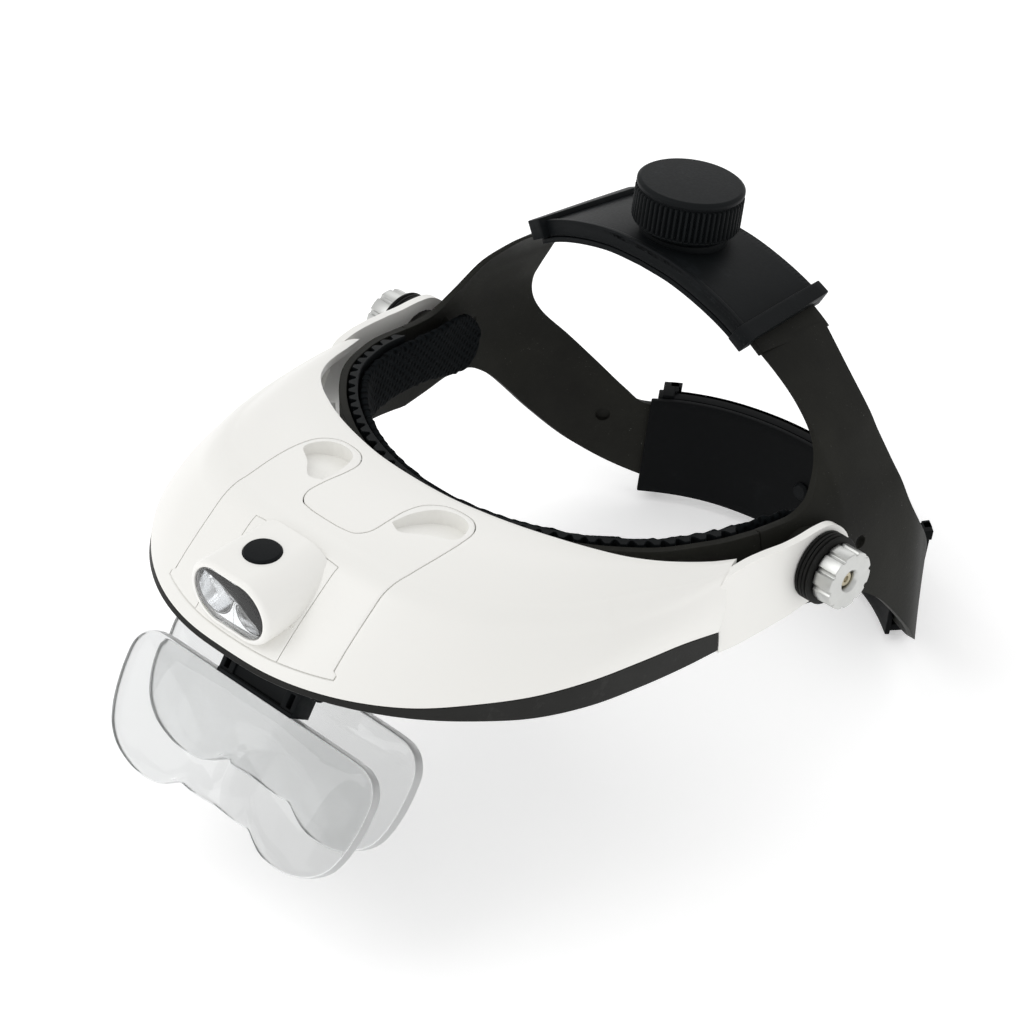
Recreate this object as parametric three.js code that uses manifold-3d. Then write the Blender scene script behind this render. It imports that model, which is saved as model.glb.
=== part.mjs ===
// Head-worn magnifier: white tilting visor with a lamp and two lens plates, on a black adjustable headband.
// Millimetres. +Z up, the wearer faces -Y, +X is the wearer's left. The origin is midway between the
// visor pivots.
import * as THREE from 'three';
import { mergeVertices } from 'three/addons/utils/BufferGeometryUtils.js';
import Module from 'manifold-3d';

const wasm = await Module();
wasm.setup();

// ---- driving dimensions ----
const GAP = 0.3;              // clearance between neighbouring pieces
const VISOR_REACH = 148.5;    // pivot line to the front rim
const VISOR_WALL = 2.2;       // visor shell thickness
const BAND_T = 2.2;           // headband plate thickness
const BAND_WIDTH = 78;        // half width of the headband at the ears
const SLEEVE_CLEAR = 0.4;     // strap play inside the sleeves
const SLEEVE_WALL = 1.6;      // sleeve wall thickness
const KNOB_R = 15.6;          // ratchet knob radius
const KNOB_H = 13.4;          // ratchet knob height
const KNOB_RIBS = 32;         // grip ribs on a ratchet knob
const PIVOT_R = 2.4;          // pivot bolt radius
const NUT_R = 8.7;            // thumb nut radius
const NUT_T = 6.4;            // thumb nut thickness
const RING_R = 10.3;          // friction ring radius
const ARM_T = 2.4;            // visor arm thickness
const LENS_HALF = 48.2;       // half width of a lens plate
const LENS_T = 3.8;           // lens plate thickness
const LENS_TAB = 11;          // half width of the lens plate tab
const HOLDER_HALF = 14.7;     // half width of a lens holder
const PIN_R = 1.2;            // lens holder hinge pin radius
const CELL_R = 5.2;           // battery radius
const CELL_L = 44.5;          // battery length
const POD_HALF = 15.2;        // half width of the lamp pod
const BUTTON_R = 5.3;         // lamp button radius
const PAD_T = 3.2;            // brow pad thickness

const ARM_X = 80;             // outer face of the visor arm at the pivot
const RING_X = ARM_X + GAP;   // where the friction rings start
const RING_T = 2.2;
const NUT_X = RING_X + 2 * RING_T + 2 * GAP;

// ---- small geometry tools ----
const V = (x, y, z) => new THREE.Vector3(x, y, z);

function solidFrom(geometry) {
  const g = geometry.clone();
  g.deleteAttribute('normal');
  g.deleteAttribute('uv');
  const m = mergeVertices(g, 1e-4);
  return new wasm.Manifold(new wasm.Mesh({
    numProp: 3,
    vertProperties: new Float32Array(m.attributes.position.array),
    triVerts: new Uint32Array(m.index.array),
  }));
}

function geometryFrom(solid) {
  const m = solid.getMesh();
  const g = new THREE.BufferGeometry();
  g.setAttribute('position', new THREE.BufferAttribute(new Float32Array(m.vertProperties), 3));
  g.setIndex(new THREE.BufferAttribute(new Uint32Array(m.triVerts), 1));
  g.computeVertexNormals();
  return g;
}

function fromTriangles(points, faces) {
  const g = new THREE.BufferGeometry();
  g.setAttribute('position', new THREE.BufferAttribute(new Float32Array(points.flatMap((p) => [p.x, p.y,
    p.z])), 3));
  g.setIndex(faces);
  return g;
}

// closed slab between two grids of points with the same rows and columns
function slabBetween(top, bottom, loop = false) {
  const n = top.length;
  const m = top[0].length;
  const points = [...top.flat(), ...bottom.flat()];
  const t = (i, j) => (i % n) * m + j;
  const b = (i, j) => n * m + t(i, j);
  const faces = [];
  const quad = (p, q, r, s) => faces.push(p, q, r, p, r, s);
  const rows = loop ? n : n - 1;
  for (let i = 0; i < rows; i++) {
    for (let j = 0; j < m - 1; j++) {
      quad(t(i, j), t(i + 1, j), t(i + 1, j + 1), t(i, j + 1));
      quad(b(i, j), b(i, j + 1), b(i + 1, j + 1), b(i + 1, j));
    }
    quad(t(i, 0), b(i, 0), b(i + 1, 0), t(i + 1, 0));
    quad(t(i, m - 1), t(i + 1, m - 1), b(i + 1, m - 1), b(i, m - 1));
  }
  if (!loop) {
    for (let j = 0; j < m - 1; j++) {
      quad(t(0, j), t(0, j + 1), b(0, j + 1), b(0, j));
      quad(t(n - 1, j), b(n - 1, j), b(n - 1, j + 1), t(n - 1, j + 1));
    }
  }
  const solid = solidFrom(fromTriangles(points, faces));
  return solid.volume() < 0 ? solidFrom(flipped(fromTriangles(points, faces))) : solid;
}

function flipped(g) {
  const a = g.index.array;
  for (let i = 0; i < a.length; i += 3) {
    [a[i], a[i + 1]] = [a[i + 1], a[i]];
  }
  return g;
}

// grid normals by central differences
function gridNormals(grid) {
  return grid.map((row, i) => row.map((p, j) => {
    const a = grid[Math.max(i - 1, 0)][j];
    const b = grid[Math.min(i + 1, grid.length - 1)][j];
    const c = row[Math.max(j - 1, 0)];
    const d = row[Math.min(j + 1, row.length - 1)];
    return b.clone().sub(a).cross(d.clone().sub(c)).normalize();
  }));
}

function offsetGrid(grid, normals, distance) {
  return grid.map((row, i) => row.map((p, j) => p.clone().addScaledVector(normals[i][j], distance)));
}

function shapeOf(points, holes = []) {
  const s = new THREE.Shape(points.map((p) => new THREE.Vector2(p[0], p[1])));
  holes.forEach((h) => s.holes.push(new THREE.Path(h.map((p) => new THREE.Vector2(p[0], p[1])))));
  return s;
}

function extruded(points, depth, bevel = 0, holes = []) {
  return new THREE.ExtrudeGeometry(shapeOf(points, holes), {
    depth: depth - 2 * bevel, bevelEnabled: bevel > 0, bevelThickness: bevel, bevelSize: bevel,
    bevelOffset: -bevel, bevelSegments: 1, curveSegments: 8,
  }).translate(0, 0, bevel);
}

const prismZ = (points, z0, z1, bevel = 0) => solidFrom(extruded(points, z1 - z0, bevel).translate(0, 0,
  z0));

// points are (y, z), swept along X
function prismX(points, x0, x1, bevel = 0) {
  const m = new THREE.Matrix4().makeBasis(V(0, 1, 0), V(0, 0, 1), V(1, 0, 0));
  return solidFrom(extruded(points, x1 - x0, bevel).applyMatrix4(m).translate(x0, 0, 0));
}

// points are (x, z), swept along Y
function prismY(points, y0, y1, bevel = 0) {
  const m = new THREE.Matrix4().makeBasis(V(1, 0, 0), V(0, 0, 1), V(0, -1, 0));
  return solidFrom(extruded(points, y1 - y0, bevel).applyMatrix4(m).translate(0, y1, 0));
}

function boxAt(x0, x1, y0, y1, z0, z1) {
  return solidFrom(new THREE.BoxGeometry(x1 - x0, y1 - y0, z1 - z0)
    .translate((x0 + x1) / 2, (y0 + y1) / 2, (z0 + z1) / 2));
}

// turned piece: profile of (radius, height) pairs about the +Z axis, starting and ending on the axis
function turned(profile, segments = 40) {
  const g = new THREE.LatheGeometry(profile.map((p) => new THREE.Vector2(p[0], p[1])), segments);
  return solidFrom(g.rotateX(Math.PI / 2));
}

// ring or tube: profile of (radius, height) pairs that closes on itself away from the axis
function turnedRing(profile, segments = 40) {
  return turned([...profile, profile[0]], segments);
}

function placed(solid, matrix) {
  return solid.transform(matrix.elements);
}

function frameMatrix(xAxis, yAxis, zAxis, origin) {
  return new THREE.Matrix4().makeBasis(xAxis, yAxis, zAxis).setPosition(origin);
}

// matrix that stands a +Z piece along +X or -X at a point on the pivot line
function alongX(side, x) {
  return frameMatrix(V(0, side, 0), V(0, 0, 1), V(side, 0, 0), V(side * x, 0, 0));
}

function union(list) {
  return list.reduce((a, b) => a.add(b));
}

function mirrored(solid) {
  return solid.mirror([1, 0, 0]);
}

function interpolate(x, table) {
  if (x <= table[0][0]) return table[0][1];
  for (let i = 1; i < table.length; i++) {
    if (x <= table[i][0]) {
      const k = (x - table[i - 1][0]) / (table[i][0] - table[i - 1][0]);
      return table[i - 1][1] + k * (table[i][1] - table[i - 1][1]);
    }
  }
  return table[table.length - 1][1];
}

const smooth = (a, b, x) => {
  const k = Math.min(1, Math.max(0, (x - a) / (b - a)));
  return k * k * (3 - 2 * k);
};

const materials = {
  white: { color: 0xf2f0ea, roughness: 0.35 },
  black: { color: 0x1b1c1d, roughness: 0.6 },
  soft: { color: 0x202122, roughness: 0.95 },
  steel: { color: 0xc9cbcc, roughness: 0.3, metalness: 1 },
  brass: { color: 0xb59a55, roughness: 0.35, metalness: 1 },
  clear: { color: 0xdfe8e8, roughness: 0.05, transparent: true, opacity: 0.35 },
  chrome: { color: 0xe6e8ea, roughness: 0.08, metalness: 1 },
  led: { color: 0xe8d878, roughness: 0.3 },
  board: { color: 0x2e6b3c, roughness: 0.5 },
  cell: { color: 0x3c5f86, roughness: 0.4 },
};

const part = new THREE.Group();
part.name = 'head_magnifier';

function addPiece(name, solid, material) {
  const mesh = new THREE.Mesh(geometryFrom(solid), new THREE.MeshStandardMaterial(materials[material]));
  mesh.name = name;
  part.add(mesh);
}

// ---- headband surface ----
// plan outline of the band's middle surface, right half from the brow to the nape: (x, y)
const PLAN = [
  [0, -74.9], [15.7, -73.3], [30.7, -68.8], [42.4, -62.5], [52, -55], [61, -44.6], [66.3, -32],
    [70.3, -17.3],
  [73.3, -3.1], [76.3, 10], [77.8, 22], [BAND_WIDTH, 34], [76.6, 46], [71.6, 55.7], [64.8, 64], [56.2, 72],
  [46.2, 79.7], [33.5, 86.1], [17.4, 90.3], [0, 91.6],
];
// half width of the head at a height, over the brow side and over the back of the strap: (z, x)
const FRONT_ARCH = [
  [-60, 1], [-2, 0.994], [6, 0.974], [13, 0.94], [17, 0.908], [24, 0.85], [31, 0.768], [40, 0.638],
  [47, 0.505], [52, 0.385],
];
const REAR_ARCH = [
  [-60, 1], [-16, 1], [-5, 0.975], [3, 0.94], [8, 0.9], [17, 0.825], [22, 0.785], [33, 0.655],
  [44, 0.51], [50, 0.4],
];
const NAPE_LEAN = 0.21;       // how far the nape strap leans per millimetre of height
const NAPE_Z = -66;           // middle height of the nape strap

const planLoop = [...PLAN, ...PLAN.slice(1, -1).reverse().map((p) => [-p[0], p[1]])];
const planCurve = new THREE.CatmullRomCurve3(planLoop.map((p) => V(p[0], p[1], 0)), true, 'centripetal');

function bandPoint(u, z, offset) {
  const p = planCurve.getPoint(u);
  const t = planCurve.getTangent(u);
  const x = p.x + t.y * offset;
  const y = p.y - t.x * offset;
  const k = (y - 15) / 28;
  const kk = Math.min(1, Math.max(0, k));
  const arch = (1 - kk) * interpolate(z, FRONT_ARCH) + kk * interpolate(z, REAR_ARCH);
  const w = smooth(-30, 8, y);
  const lean = NAPE_LEAN * (z - NAPE_Z) * smooth(52, 78, y);
  return V(x * (1 + w * (arch - 1)), y + lean, z);
}

const BAND_LEVELS = [-90, -16, -2, 8, 16, 24, 32, 40, 51];
function bandRing(inner, outer, levels = BAND_LEVELS, steps = 60) {
  const grid = (offset) => Array.from({ length: steps }, (_, i) => levels.map((z) => bandPoint(i / steps,
    z, offset)));
  return slabBetween(grid(outer), grid(inner), true);
}

// smooth line through (a, b) pairs
function smoothLine(points, samples) {
  const c = new THREE.CatmullRomCurve3(points.map((p) => V(p[0], p[1], 0)), false, 'centripetal');
  return c.getPoints(samples).map((p) => [p.x, p.y]);
}

// side view of one side plate with its top strap and nape arm: (y, z)
const SPLIT_Y = -14;          // where the brow band meets the side plates
const plateTop = smoothLine([[SPLIT_Y, 13.2], [-8, 12.2], [-1, 11.7], [5, 13.6], [9.5, 17.5],
  [13.2, 22.5], [15.6, 28],
  [16.4, 34], [16, 40], [15.4, 45], [15, 50]], 16);
const plateRear = smoothLine([[43.6, 50], [43, 44], [42, 36], [41.2, 28], [41, 20], [41.6, 12],
  [42.6, 4], [44.6, -5],
  [49, -14], [57, -25], [65, -37], [71, -46.7], [74.6, -51.9], [79, -53.1], [88, -53], [105, -53]], 20);
const plateLow = smoothLine([[105, -79.1], [88, -79.2], [76, -79], [68, -75], [58, -66], [46, -51],
  [37, -39], [31, -31.5],
  [26, -26.5], [20, -22], [12, -19.3], [0, -17.4], [SPLIT_Y, -15.6]], 20);
const plateView = [...plateTop, ...plateRear, ...plateLow];

// crown of the head: height of the strap's middle surface over the brow side and the rear side: (x, z)
const CROWN_FRONT = [[0, 58], [12, 57.2], [24, 54.3], [33, 50.8], [39.2, 47.2], [46, 42.6], [50, 39.6]];
const CROWN_REAR = [[0, 52.6], [12, 51.8], [24, 49.1], [33, 45.8], [40, 42], [46, 37.4], [50, 33.5]];
function crownZ(x, y) {
  const a = interpolate(Math.abs(x), CROWN_FRONT);
  const b = interpolate(Math.abs(x), CROWN_REAR);
  return a + (b - a) * (y - 15) / 28;
}
// taper narrows the sheet towards the rear
function crownSheet(x0, x1, y0, y1, low, high, steps = 18, taper = 0) {
  const grid = [];
  for (let i = 0; i <= steps; i++) {
    grid.push([0, 1, 2].map((j) => {
      const y = y0 + (y1 - y0) * j / 2;
      const x = (x0 + (x1 - x0) * i / steps) * (1 - taper * (y - STRAP_Y0) / (STRAP_Y1 - STRAP_Y0));
      return V(x, y, crownZ(x, y));
    }));
  }
  const normals = gridNormals(grid);
  normals.flat().forEach((n) => { if (n.z < 0) n.negate(); });
  return slabBetween(offsetGrid(grid, normals, high), offsetGrid(grid, normals, low));
}

const STRAP_Y0 = 15.2;        // crown strap, front edge
const STRAP_Y1 = 43.4;        // crown strap, rear edge
const CROWN_MID = 29.3;       // middle of the crown strap
const NAPE_HALF = 13.2;       // half height of the nape strap
const RACK_REACH = 17;        // how far a rack tongue passes the knob
const RACK_GAP = 4.6;         // half gap between the two racks at a knob
const RACK_W = 5;             // width of a rack tongue
const SLOT = BAND_T / 2 + SLEEVE_CLEAR;
const SLEEVE = SLOT + SLEEVE_WALL;

// tooth notches along the pinion side of a rack tongue
function toothNotches(cutter, edge, side, low, high) {
  const cuts = [];
  for (let s = -RACK_REACH + 2; s < RACK_REACH - 2; s += 4) {
    const tri = [[s, edge - side * 0.1], [s + 2, edge - side * 0.1], [s + 1, edge + side * 1.3]];
    cuts.push(cutter(side > 0 ? tri : tri.reverse(), low, high));
  }
  return union(cuts);
}

const BOSS_IN = 72.4;         // flat faces of the boss round the pivot bolt
const BOSS_OUT = 75.9;
const EYELET_R = 2;            // hole behind the pivot
const boltHole = solidFrom(new THREE.CylinderGeometry(PIVOT_R + GAP, PIVOT_R + GAP, 200,
  24).rotateZ(Math.PI / 2));
const sideways = (origin) => frameMatrix(V(0, 1, 0), V(0, 0, 1), V(1, 0, 0), origin);
// left side plate with crown strap, nape arm and two rack tongues; side says which edge of the pinion
// they run on
function sidePlate(side) {
  const ring = bandRing(-BAND_T / 2, BAND_T / 2);
  const plate = ring.intersect(prismX(plateView, RACK_REACH + 1, 100)).intersect(boxAt(0, 100, -30, 110,
    -95, 48));
  const crown = crownSheet(RACK_REACH + 1, 43, STRAP_Y0, STRAP_Y1, -BAND_T / 2, BAND_T / 2, 10);
  const body = plate.subtract(boxAt(0, 41.5, 0, 55, 20, 60)).add(crown);
  const crownEdge = CROWN_MID + side * RACK_GAP;
  const napeEdge = NAPE_Z + side * RACK_GAP;
  const sorted = (a, b) => [Math.min(a, b), Math.max(a, b)];
  const [c0, c1] = sorted(crownEdge, crownEdge + side * RACK_W);
  const [n0, n1] = sorted(napeEdge, napeEdge + side * RACK_W);
  const crownRack = crownSheet(-RACK_REACH, RACK_REACH + 2, c0, c1, -0.9, 0.9, 10)
    .subtract(toothNotches(prismZ, crownEdge, side, 40, 70));
  const napeRack = bandRing(-0.9, 0.9).intersect(boxAt(-RACK_REACH, RACK_REACH + 2, 60, 120, n0, n1))
    .subtract(toothNotches(prismY, napeEdge, side, 60, 120));
  const keyhole = bandPoint(uAt(65), -56, 0);
  const holes = [
    placed(turned([[0, -6], [EYELET_R, -6], [EYELET_R, 6], [0, 6]], 12), sideways(V(76, 20.4, -4.8))),
    placed(turned([[0, -12], [2.3, -12], [2.3, 0], [0, 0]], 12), sideways(keyhole)),
    boltHole,
  ];
  const boss = placed(turned([[0, BOSS_IN], [8.4, BOSS_IN], [8.4, BOSS_OUT], [0, BOSS_OUT]],
    24), sideways(V(0, 0, 0)));
  const headSeat = placed(turned([[0, 60], [4.8, 60], [4.8, BOSS_IN], [0, BOSS_IN]],
    20), sideways(V(0, 0, 0)));
  const faceSeat = placed(turned([[0, BOSS_OUT], [8.4, BOSS_OUT], [8.4, 90], [0, 90]],
    24), sideways(V(0, 0, 0)));
  return union([body, crownRack, napeRack, boss]).subtract(union([...holes, headSeat, faceSeat]));
}

addPiece('side_plate_left', sidePlate(1), 'black');
addPiece('side_plate_right', mirrored(sidePlate(-1)), 'black');

// ---- brow band, toothed liner and pad ----
const browTop = smoothLine([[SPLIT_Y, 13.2], [-24, 15.4], [-34, 17.4], [-44, 19], [-55, 20.4],
  [-65, 21.4], [-79, 22]], 14);
const browLow = smoothLine([[-79, 1], [-64, -1], [-50, -3.6], [-38, -6.8], [-28, -10.4], [-20, -13.4],
  [SPLIT_Y, -15.6]], 14);
const browView = [...browTop, ...browLow].map(([y, z]) => [y - GAP, z]);
const browRing = bandRing(-BAND_T / 2, BAND_T / 2, [-30, -8, 4, 14, 24, 34], 56);
addPiece('front_band', browRing.intersect(prismX(browView, -100, 100)), 'black');

// strip of the band surface from ear to ear: edges given as heights over the plan, thickness as offsets;
// notch gives how far the outer face steps in at each column
function browStrip(inner, outer, yEnd, topOf, lowOf, columns, notch = () => 0) {
  const uEnd = uAt(yEnd);
  const rows = [];
  for (let i = 0; i <= columns; i++) {
    const u = -uEnd + 2 * uEnd * i / columns;
    rows.push((u + 1) % 1);
  }
  const grid = (offset, step) => rows.map((u, i) => {
    const y = planCurve.getPoint(u).y;
    const hi = topOf(y);
    const lo = lowOf(y);
    return [0, 1].map((j) => bandPoint(u, lo + (hi - lo) * j, offset - step(i)));
  });
  return slabBetween(grid(outer, notch), grid(inner, () => 0));
}

// curve parameter where the right side of the plan reaches a given y
function uAt(y) {
  let lo = 0;
  let hi = 0.5;
  for (let i = 0; i < 40; i++) {
    const mid = (lo + hi) / 2;
    if (planCurve.getPoint(mid).y < y) lo = mid;
    else hi = mid;
  }
  return lo;
}
const topAt = (y) => interpolate(y, [...browTop].reverse().concat([[-5, 11.6], [2, 10.2], [19, 3.4],
  [30, 0]]));
const lowAt = (y) => interpolate(y, [[-79, 4], [-50, 1.6], [-36, -0.6], [-22.7, -3.6], [-8.6, -8],
  [2, -13], [15.7, -17.4], [30, -20]]);
const LINER_OUT = -BAND_T / 2 - 0.6;
const LINER_IN = LINER_OUT - 2.6;
addPiece('brow_liner', browStrip(LINER_IN, LINER_OUT, -19, (y) => topAt(y) + 0.4, (y) => lowAt(y) + 1, 80,
  (i) => (i % 2 ? 1.7 : 0)), 'black');
const PAD_OUT = LINER_IN - GAP;
const padTop = (y) => topAt(y) - 0.4;
addPiece('brow_pad', browStrip(PAD_OUT - PAD_T, PAD_OUT, 19, padTop, lowAt, 48), 'soft');

// ---- crown sleeve ----
const SLEEVE_X = 39.8;        // half length of the crown sleeve
const TAPER = 0.07;
function crownSleeve() {
  const outer = crownSheet(-SLEEVE_X, SLEEVE_X, STRAP_Y0 - 3, STRAP_Y1 + 3, -SLOT + 0.3, SLEEVE, 16, TAPER);
  const lip = (s) => crownSheet(s * (SLEEVE_X - 3.2), s * SLEEVE_X, STRAP_Y0 - 5.4, STRAP_Y1 + 4.6,
    -SLOT + 0.3,
    SLEEVE + 1.6, 2, TAPER);
  const slot = crownSheet(-46, 46, STRAP_Y0 - 0.6, STRAP_Y1 + 0.6, -SLOT - 1, SLOT, 18);
  return union([outer, lip(1), lip(-1)]).subtract(slot);
}
const knobUp = V(0, 0.176, 0.985).normalize();
const crownSeat = V(0, CROWN_MID, crownZ(0, CROWN_MID)).addScaledVector(knobUp, SLEEVE);
const crownFrame = frameMatrix(V(1, 0, 0), knobUp.clone().cross(V(1, 0, 0)), knobUp, crownSeat);
const knobSeat = turned([[0, -2.4], [12.6, -2.4], [12.6, 0.9], [11.6, 1.5], [0, 1.5]], 40);
const shaftHole = turned([[0, -20], [3.6, -20], [3.6, 20], [0, 20]], 24);
const crownSlot = crownSheet(-46, 46, STRAP_Y0 - 0.6, STRAP_Y1 + 0.6, -SLOT - 3, SLOT, 18);
const shaftRelief = turned([[0, -20], [1.5, -20], [1.5, 20], [0, 20]], 16);
addPiece('crown_sleeve', crownSleeve().add(placed(knobSeat, crownFrame).subtract(crownSlot))
  .subtract(placed(shaftHole, crownFrame)), 'black');
const crownBase = crownSheet(-SLEEVE_X + 0.6, SLEEVE_X - 0.6, STRAP_Y0 - 3, STRAP_Y1 + 3, -SLEEVE, -SLOT,
  16, TAPER);
addPiece('crown_sleeve_base', crownBase.subtract(placed(shaftRelief, crownFrame)), 'black');

// ---- ratchet knobs ----
const KNOB_LIFT = 2.7;        // the knob stands this far above the sleeve
// disc with a saw-edged rim
function ribbedDisc(radius, depth, ribs, height) {
  const pts = [];
  for (let i = 0; i < ribs * 2; i++) {
    const a = Math.PI * i / ribs;
    const r = radius - (i % 2 ? depth : 0);
    pts.push([r * Math.cos(a), r * Math.sin(a)]);
  }
  return prismZ(pts, 0, height);
}
function ratchetKnob() {
  const ribs = ribbedDisc(KNOB_R, 0.8, KNOB_RIBS, KNOB_H - 2.4);
  const cap = turned([[0, KNOB_H - 2.5], [KNOB_R - 0.9, KNOB_H - 2.5], [KNOB_R - 0.9, KNOB_H - 1.9],
    [KNOB_R - 0.1, KNOB_H - 1.8], [KNOB_R - 0.1, KNOB_H - 0.9], [KNOB_R - 0.9, KNOB_H], [0, KNOB_H]], 40);
  const bore = turned([[0, -1], [3, -1], [3, 7], [0, 7]], 16);
  return ribs.add(cap).subtract(bore);
}
// pinion: toothed wheel between the racks with a shaft up into the knob bore
function pinion() {
  const teeth = [];
  for (let i = 0; i < 16; i++) {
    const a = 2 * Math.PI * i / 16;
    const r = i % 2 ? 3.1 : 4.1;
    teeth.push([r * Math.cos(a), r * Math.sin(a)]);
  }
  const low = -SLEEVE - 1.1;
  const wheel = prismZ(teeth, low, low + 2.2);
  const shaft = turned([[0, low + 2], [2.7, low + 2], [2.7, 6.6 + KNOB_LIFT], [0, 6.6 + KNOB_LIFT]], 16);
  const screwBore = turned([[0, -20], [1.1, -20], [1.1, 5.6], [0, 5.6]], 10);
  return wheel.add(shaft).subtract(screwBore);
}
function knobScrew() {
  const head = -SLEEVE * 2 - GAP;
  return turned([[0, head - 1.2], [2.2, head - 1.2], [2.8, head - 0.4], [2.8, head], [0.8, head],
    [0.8, 3], [0, 3]], 12);
}
function knobWasher() {
  return turnedRing([[3.4, 1.8], [10.5, 1.8], [10.5, 2.4], [3.4, 2.4]], 20);
}
const lifted = (frame, d) => frame.clone().multiply(new THREE.Matrix4().makeTranslation(0, 0, d));
addPiece('crown_knob', placed(ratchetKnob(), lifted(crownFrame, KNOB_LIFT)), 'black');
addPiece('crown_knob_washer', placed(knobWasher(), crownFrame), 'steel');
addPiece('crown_pinion', placed(pinion(), crownFrame), 'black');
addPiece('crown_screw', placed(knobScrew(), crownFrame), 'steel');

// ---- nape sleeve ----
const NAPE_X = 52.5;           // half length of the nape sleeve
const NAPE_FLARE = 2.4;        // widening of the slot at the sleeve's mouths
const napeLevels = [NAPE_Z - 22, NAPE_Z, NAPE_Z + 22];
const napeBand = (a, b) => bandRing(a, b, napeLevels, 60);
const napeBox = (x, h) => boxAt(-x, x, 50, 140, NAPE_Z - h, NAPE_Z + h);
function napeSleeve() {
  const wall = napeBand(-SLOT + 0.3, SLEEVE).intersect(napeBox(NAPE_X, NAPE_HALF + 2.8));
  const ends = napeBox(NAPE_X, NAPE_HALF + 3.9).subtract(napeBox(NAPE_X - 3, 40));
  const lips = napeBand(-SLOT + 0.3, SLEEVE + NAPE_FLARE + 0.9).intersect(ends);
  const slot = napeBand(-SLOT - 3, SLOT).intersect(napeBox(NAPE_X + 20, NAPE_HALF + 0.6));
  const mouths = napeBand(-SLOT - 3, SLOT + NAPE_FLARE).intersect(napeBox(NAPE_X + 20, NAPE_HALF + 0.6)
    .subtract(napeBox(NAPE_X - 1.8, 40)));
  return wall.add(lips).subtract(slot).subtract(mouths);
}
const napeUp = V(0, 1, -NAPE_LEAN).normalize();
const napePoint = bandPoint(0.5, NAPE_Z, 0).addScaledVector(napeUp, SLEEVE);
const napeFrame = frameMatrix(V(1, 0, 0), napeUp.clone().cross(V(1, 0, 0)), napeUp, napePoint);
const napeSlotCut = napeBand(-SLOT - 4, SLOT).intersect(napeBox(NAPE_X + 20, NAPE_HALF + 0.6));
addPiece('nape_sleeve', napeSleeve().add(placed(knobSeat, napeFrame).subtract(napeSlotCut))
  .subtract(placed(shaftHole, napeFrame)), 'black');
const napeBase = napeBand(-SLEEVE, -SLOT).intersect(napeBox(NAPE_X - 0.6, NAPE_HALF + 2.8));
addPiece('nape_sleeve_base', napeBase.subtract(placed(shaftRelief, napeFrame)), 'black');
addPiece('nape_knob', placed(ratchetKnob(), lifted(napeFrame, KNOB_LIFT)), 'black');
addPiece('nape_knob_washer', placed(knobWasher(), napeFrame), 'steel');
addPiece('nape_pinion', placed(pinion(), napeFrame), 'black');
addPiece('nape_screw', placed(knobScrew(), napeFrame), 'steel');

// ---- visor shell ----
// stations from the brow middle to the arm, right half; each row: inner edge, crest, lower edge, trim
// edge (x, y, z)
const STATIONS = [
  [[0, -77.5, 29], [0, -120.5, 33], [0, -147.6, 9.5], [0, -VISOR_REACH, 7.6]],
  [[13, -76.8, 28.8], [15, -119.8, 32.6], [15.1, -146.7, 9.3], [15.3, -147.6, 7.4]],
  [[24.5, -74.6, 28.4], [30, -117.4, 31.1], [28.7, -143, 8.9], [28.9, -143.9, 6.9]],
  [[35, -71.4, 27.7], [42.5, -112, 29.1], [41.2, -136.6, 8.4], [41.4, -137.4, 5.9]],
  [[44.5, -67, 26.4], [52.5, -104.8, 27], [52.3, -127.8, 8], [52.6, -128.5, 4.4]],
  [[52.8, -62, 24.7], [60, -95.3, 24.6], [62, -116.6, 8.2], [62.3, -117.2, 2.6]],
  [[59.6, -56.2, 22.5], [66, -83.6, 22], [70.2, -102.4, 7.4], [70.5, -102.7, -0.2]],
  [[64.8, -49.4, 20.1], [70.6, -71.2, 19.5], [75.2, -86, 5.9], [75.5, -86, -2.9]],
  [[68.6, -42, 17.6], [73.8, -58.6, 17.3], [77.2, -68.5, 3.4], [77.4, -68.5, -5.7]],
  [[71.6, -34.4, 15.2], [76, -47, 15.5], [77.8, -52.5, 0.4], [77.9, -52.5, -8.4]],
  [[74, -27.5, 13.6], [76.9, -34.5, 14.2], [77.7, -38.2, -3.8], [77.8, -38.2, -10.6]],
];
const mirrorStation = (s) => s.map(([x, y, z]) => [-x, y, z]);
const allStations = [...STATIONS.slice(1).reverse().map(mirrorStation), ...STATIONS];
const stationCurves = [0, 1, 2, 3].map((k) => new THREE.CatmullRomCurve3(
  allStations.map((s) => V(...s[k])), false, 'catmullrom', 0.5));
const VISOR_STEPS = 38;

// outer profile of the shell at one place along the visor: flat top, rounded crest, nearly straight wall
function visorProfile(u) {
  const [inner, crest, low] = [0, 1, 2].map((k) => stationCurves[k].getPoint(u));
  const top = inner.clone().sub(crest);
  const wall = low.clone().sub(crest);
  const r = Math.min(6.5, top.length() * 0.3);
  const a = crest.clone().addScaledVector(top, r / top.length());
  const b = crest.clone().addScaledVector(wall, r / wall.length());
  const profile = [];
  for (const k of [0, 0.33, 0.67]) {
    const p = inner.clone().lerp(a, k);
    p.z += 1.6 * Math.sin(Math.PI * k) * Math.min(1, top.length() / 30);
    profile.push(p);
  }
  for (const k of [0, 0.33, 0.67, 1]) {
    profile.push(a.clone().multiplyScalar((1 - k) ** 2).addScaledVector(crest,
      2 * k * (1 - k)).addScaledVector(b, k * k));
  }
  for (const k of [0.4, 0.75, 1]) {
    const p = b.clone().lerp(low, k);
    const out = V(p.x, p.y + 40, 0).normalize();
    profile.push(p.addScaledVector(out, 0.9 * Math.sin(Math.PI * k)));
  }
  return profile;
}
const visorGrid = Array.from({ length: VISOR_STEPS + 1 }, (_, i) => visorProfile(i / VISOR_STEPS));
const visorNormals = gridNormals(visorGrid);
visorNormals.flat().forEach((n) => { if (n.z < 0) n.negate(); });
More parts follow.
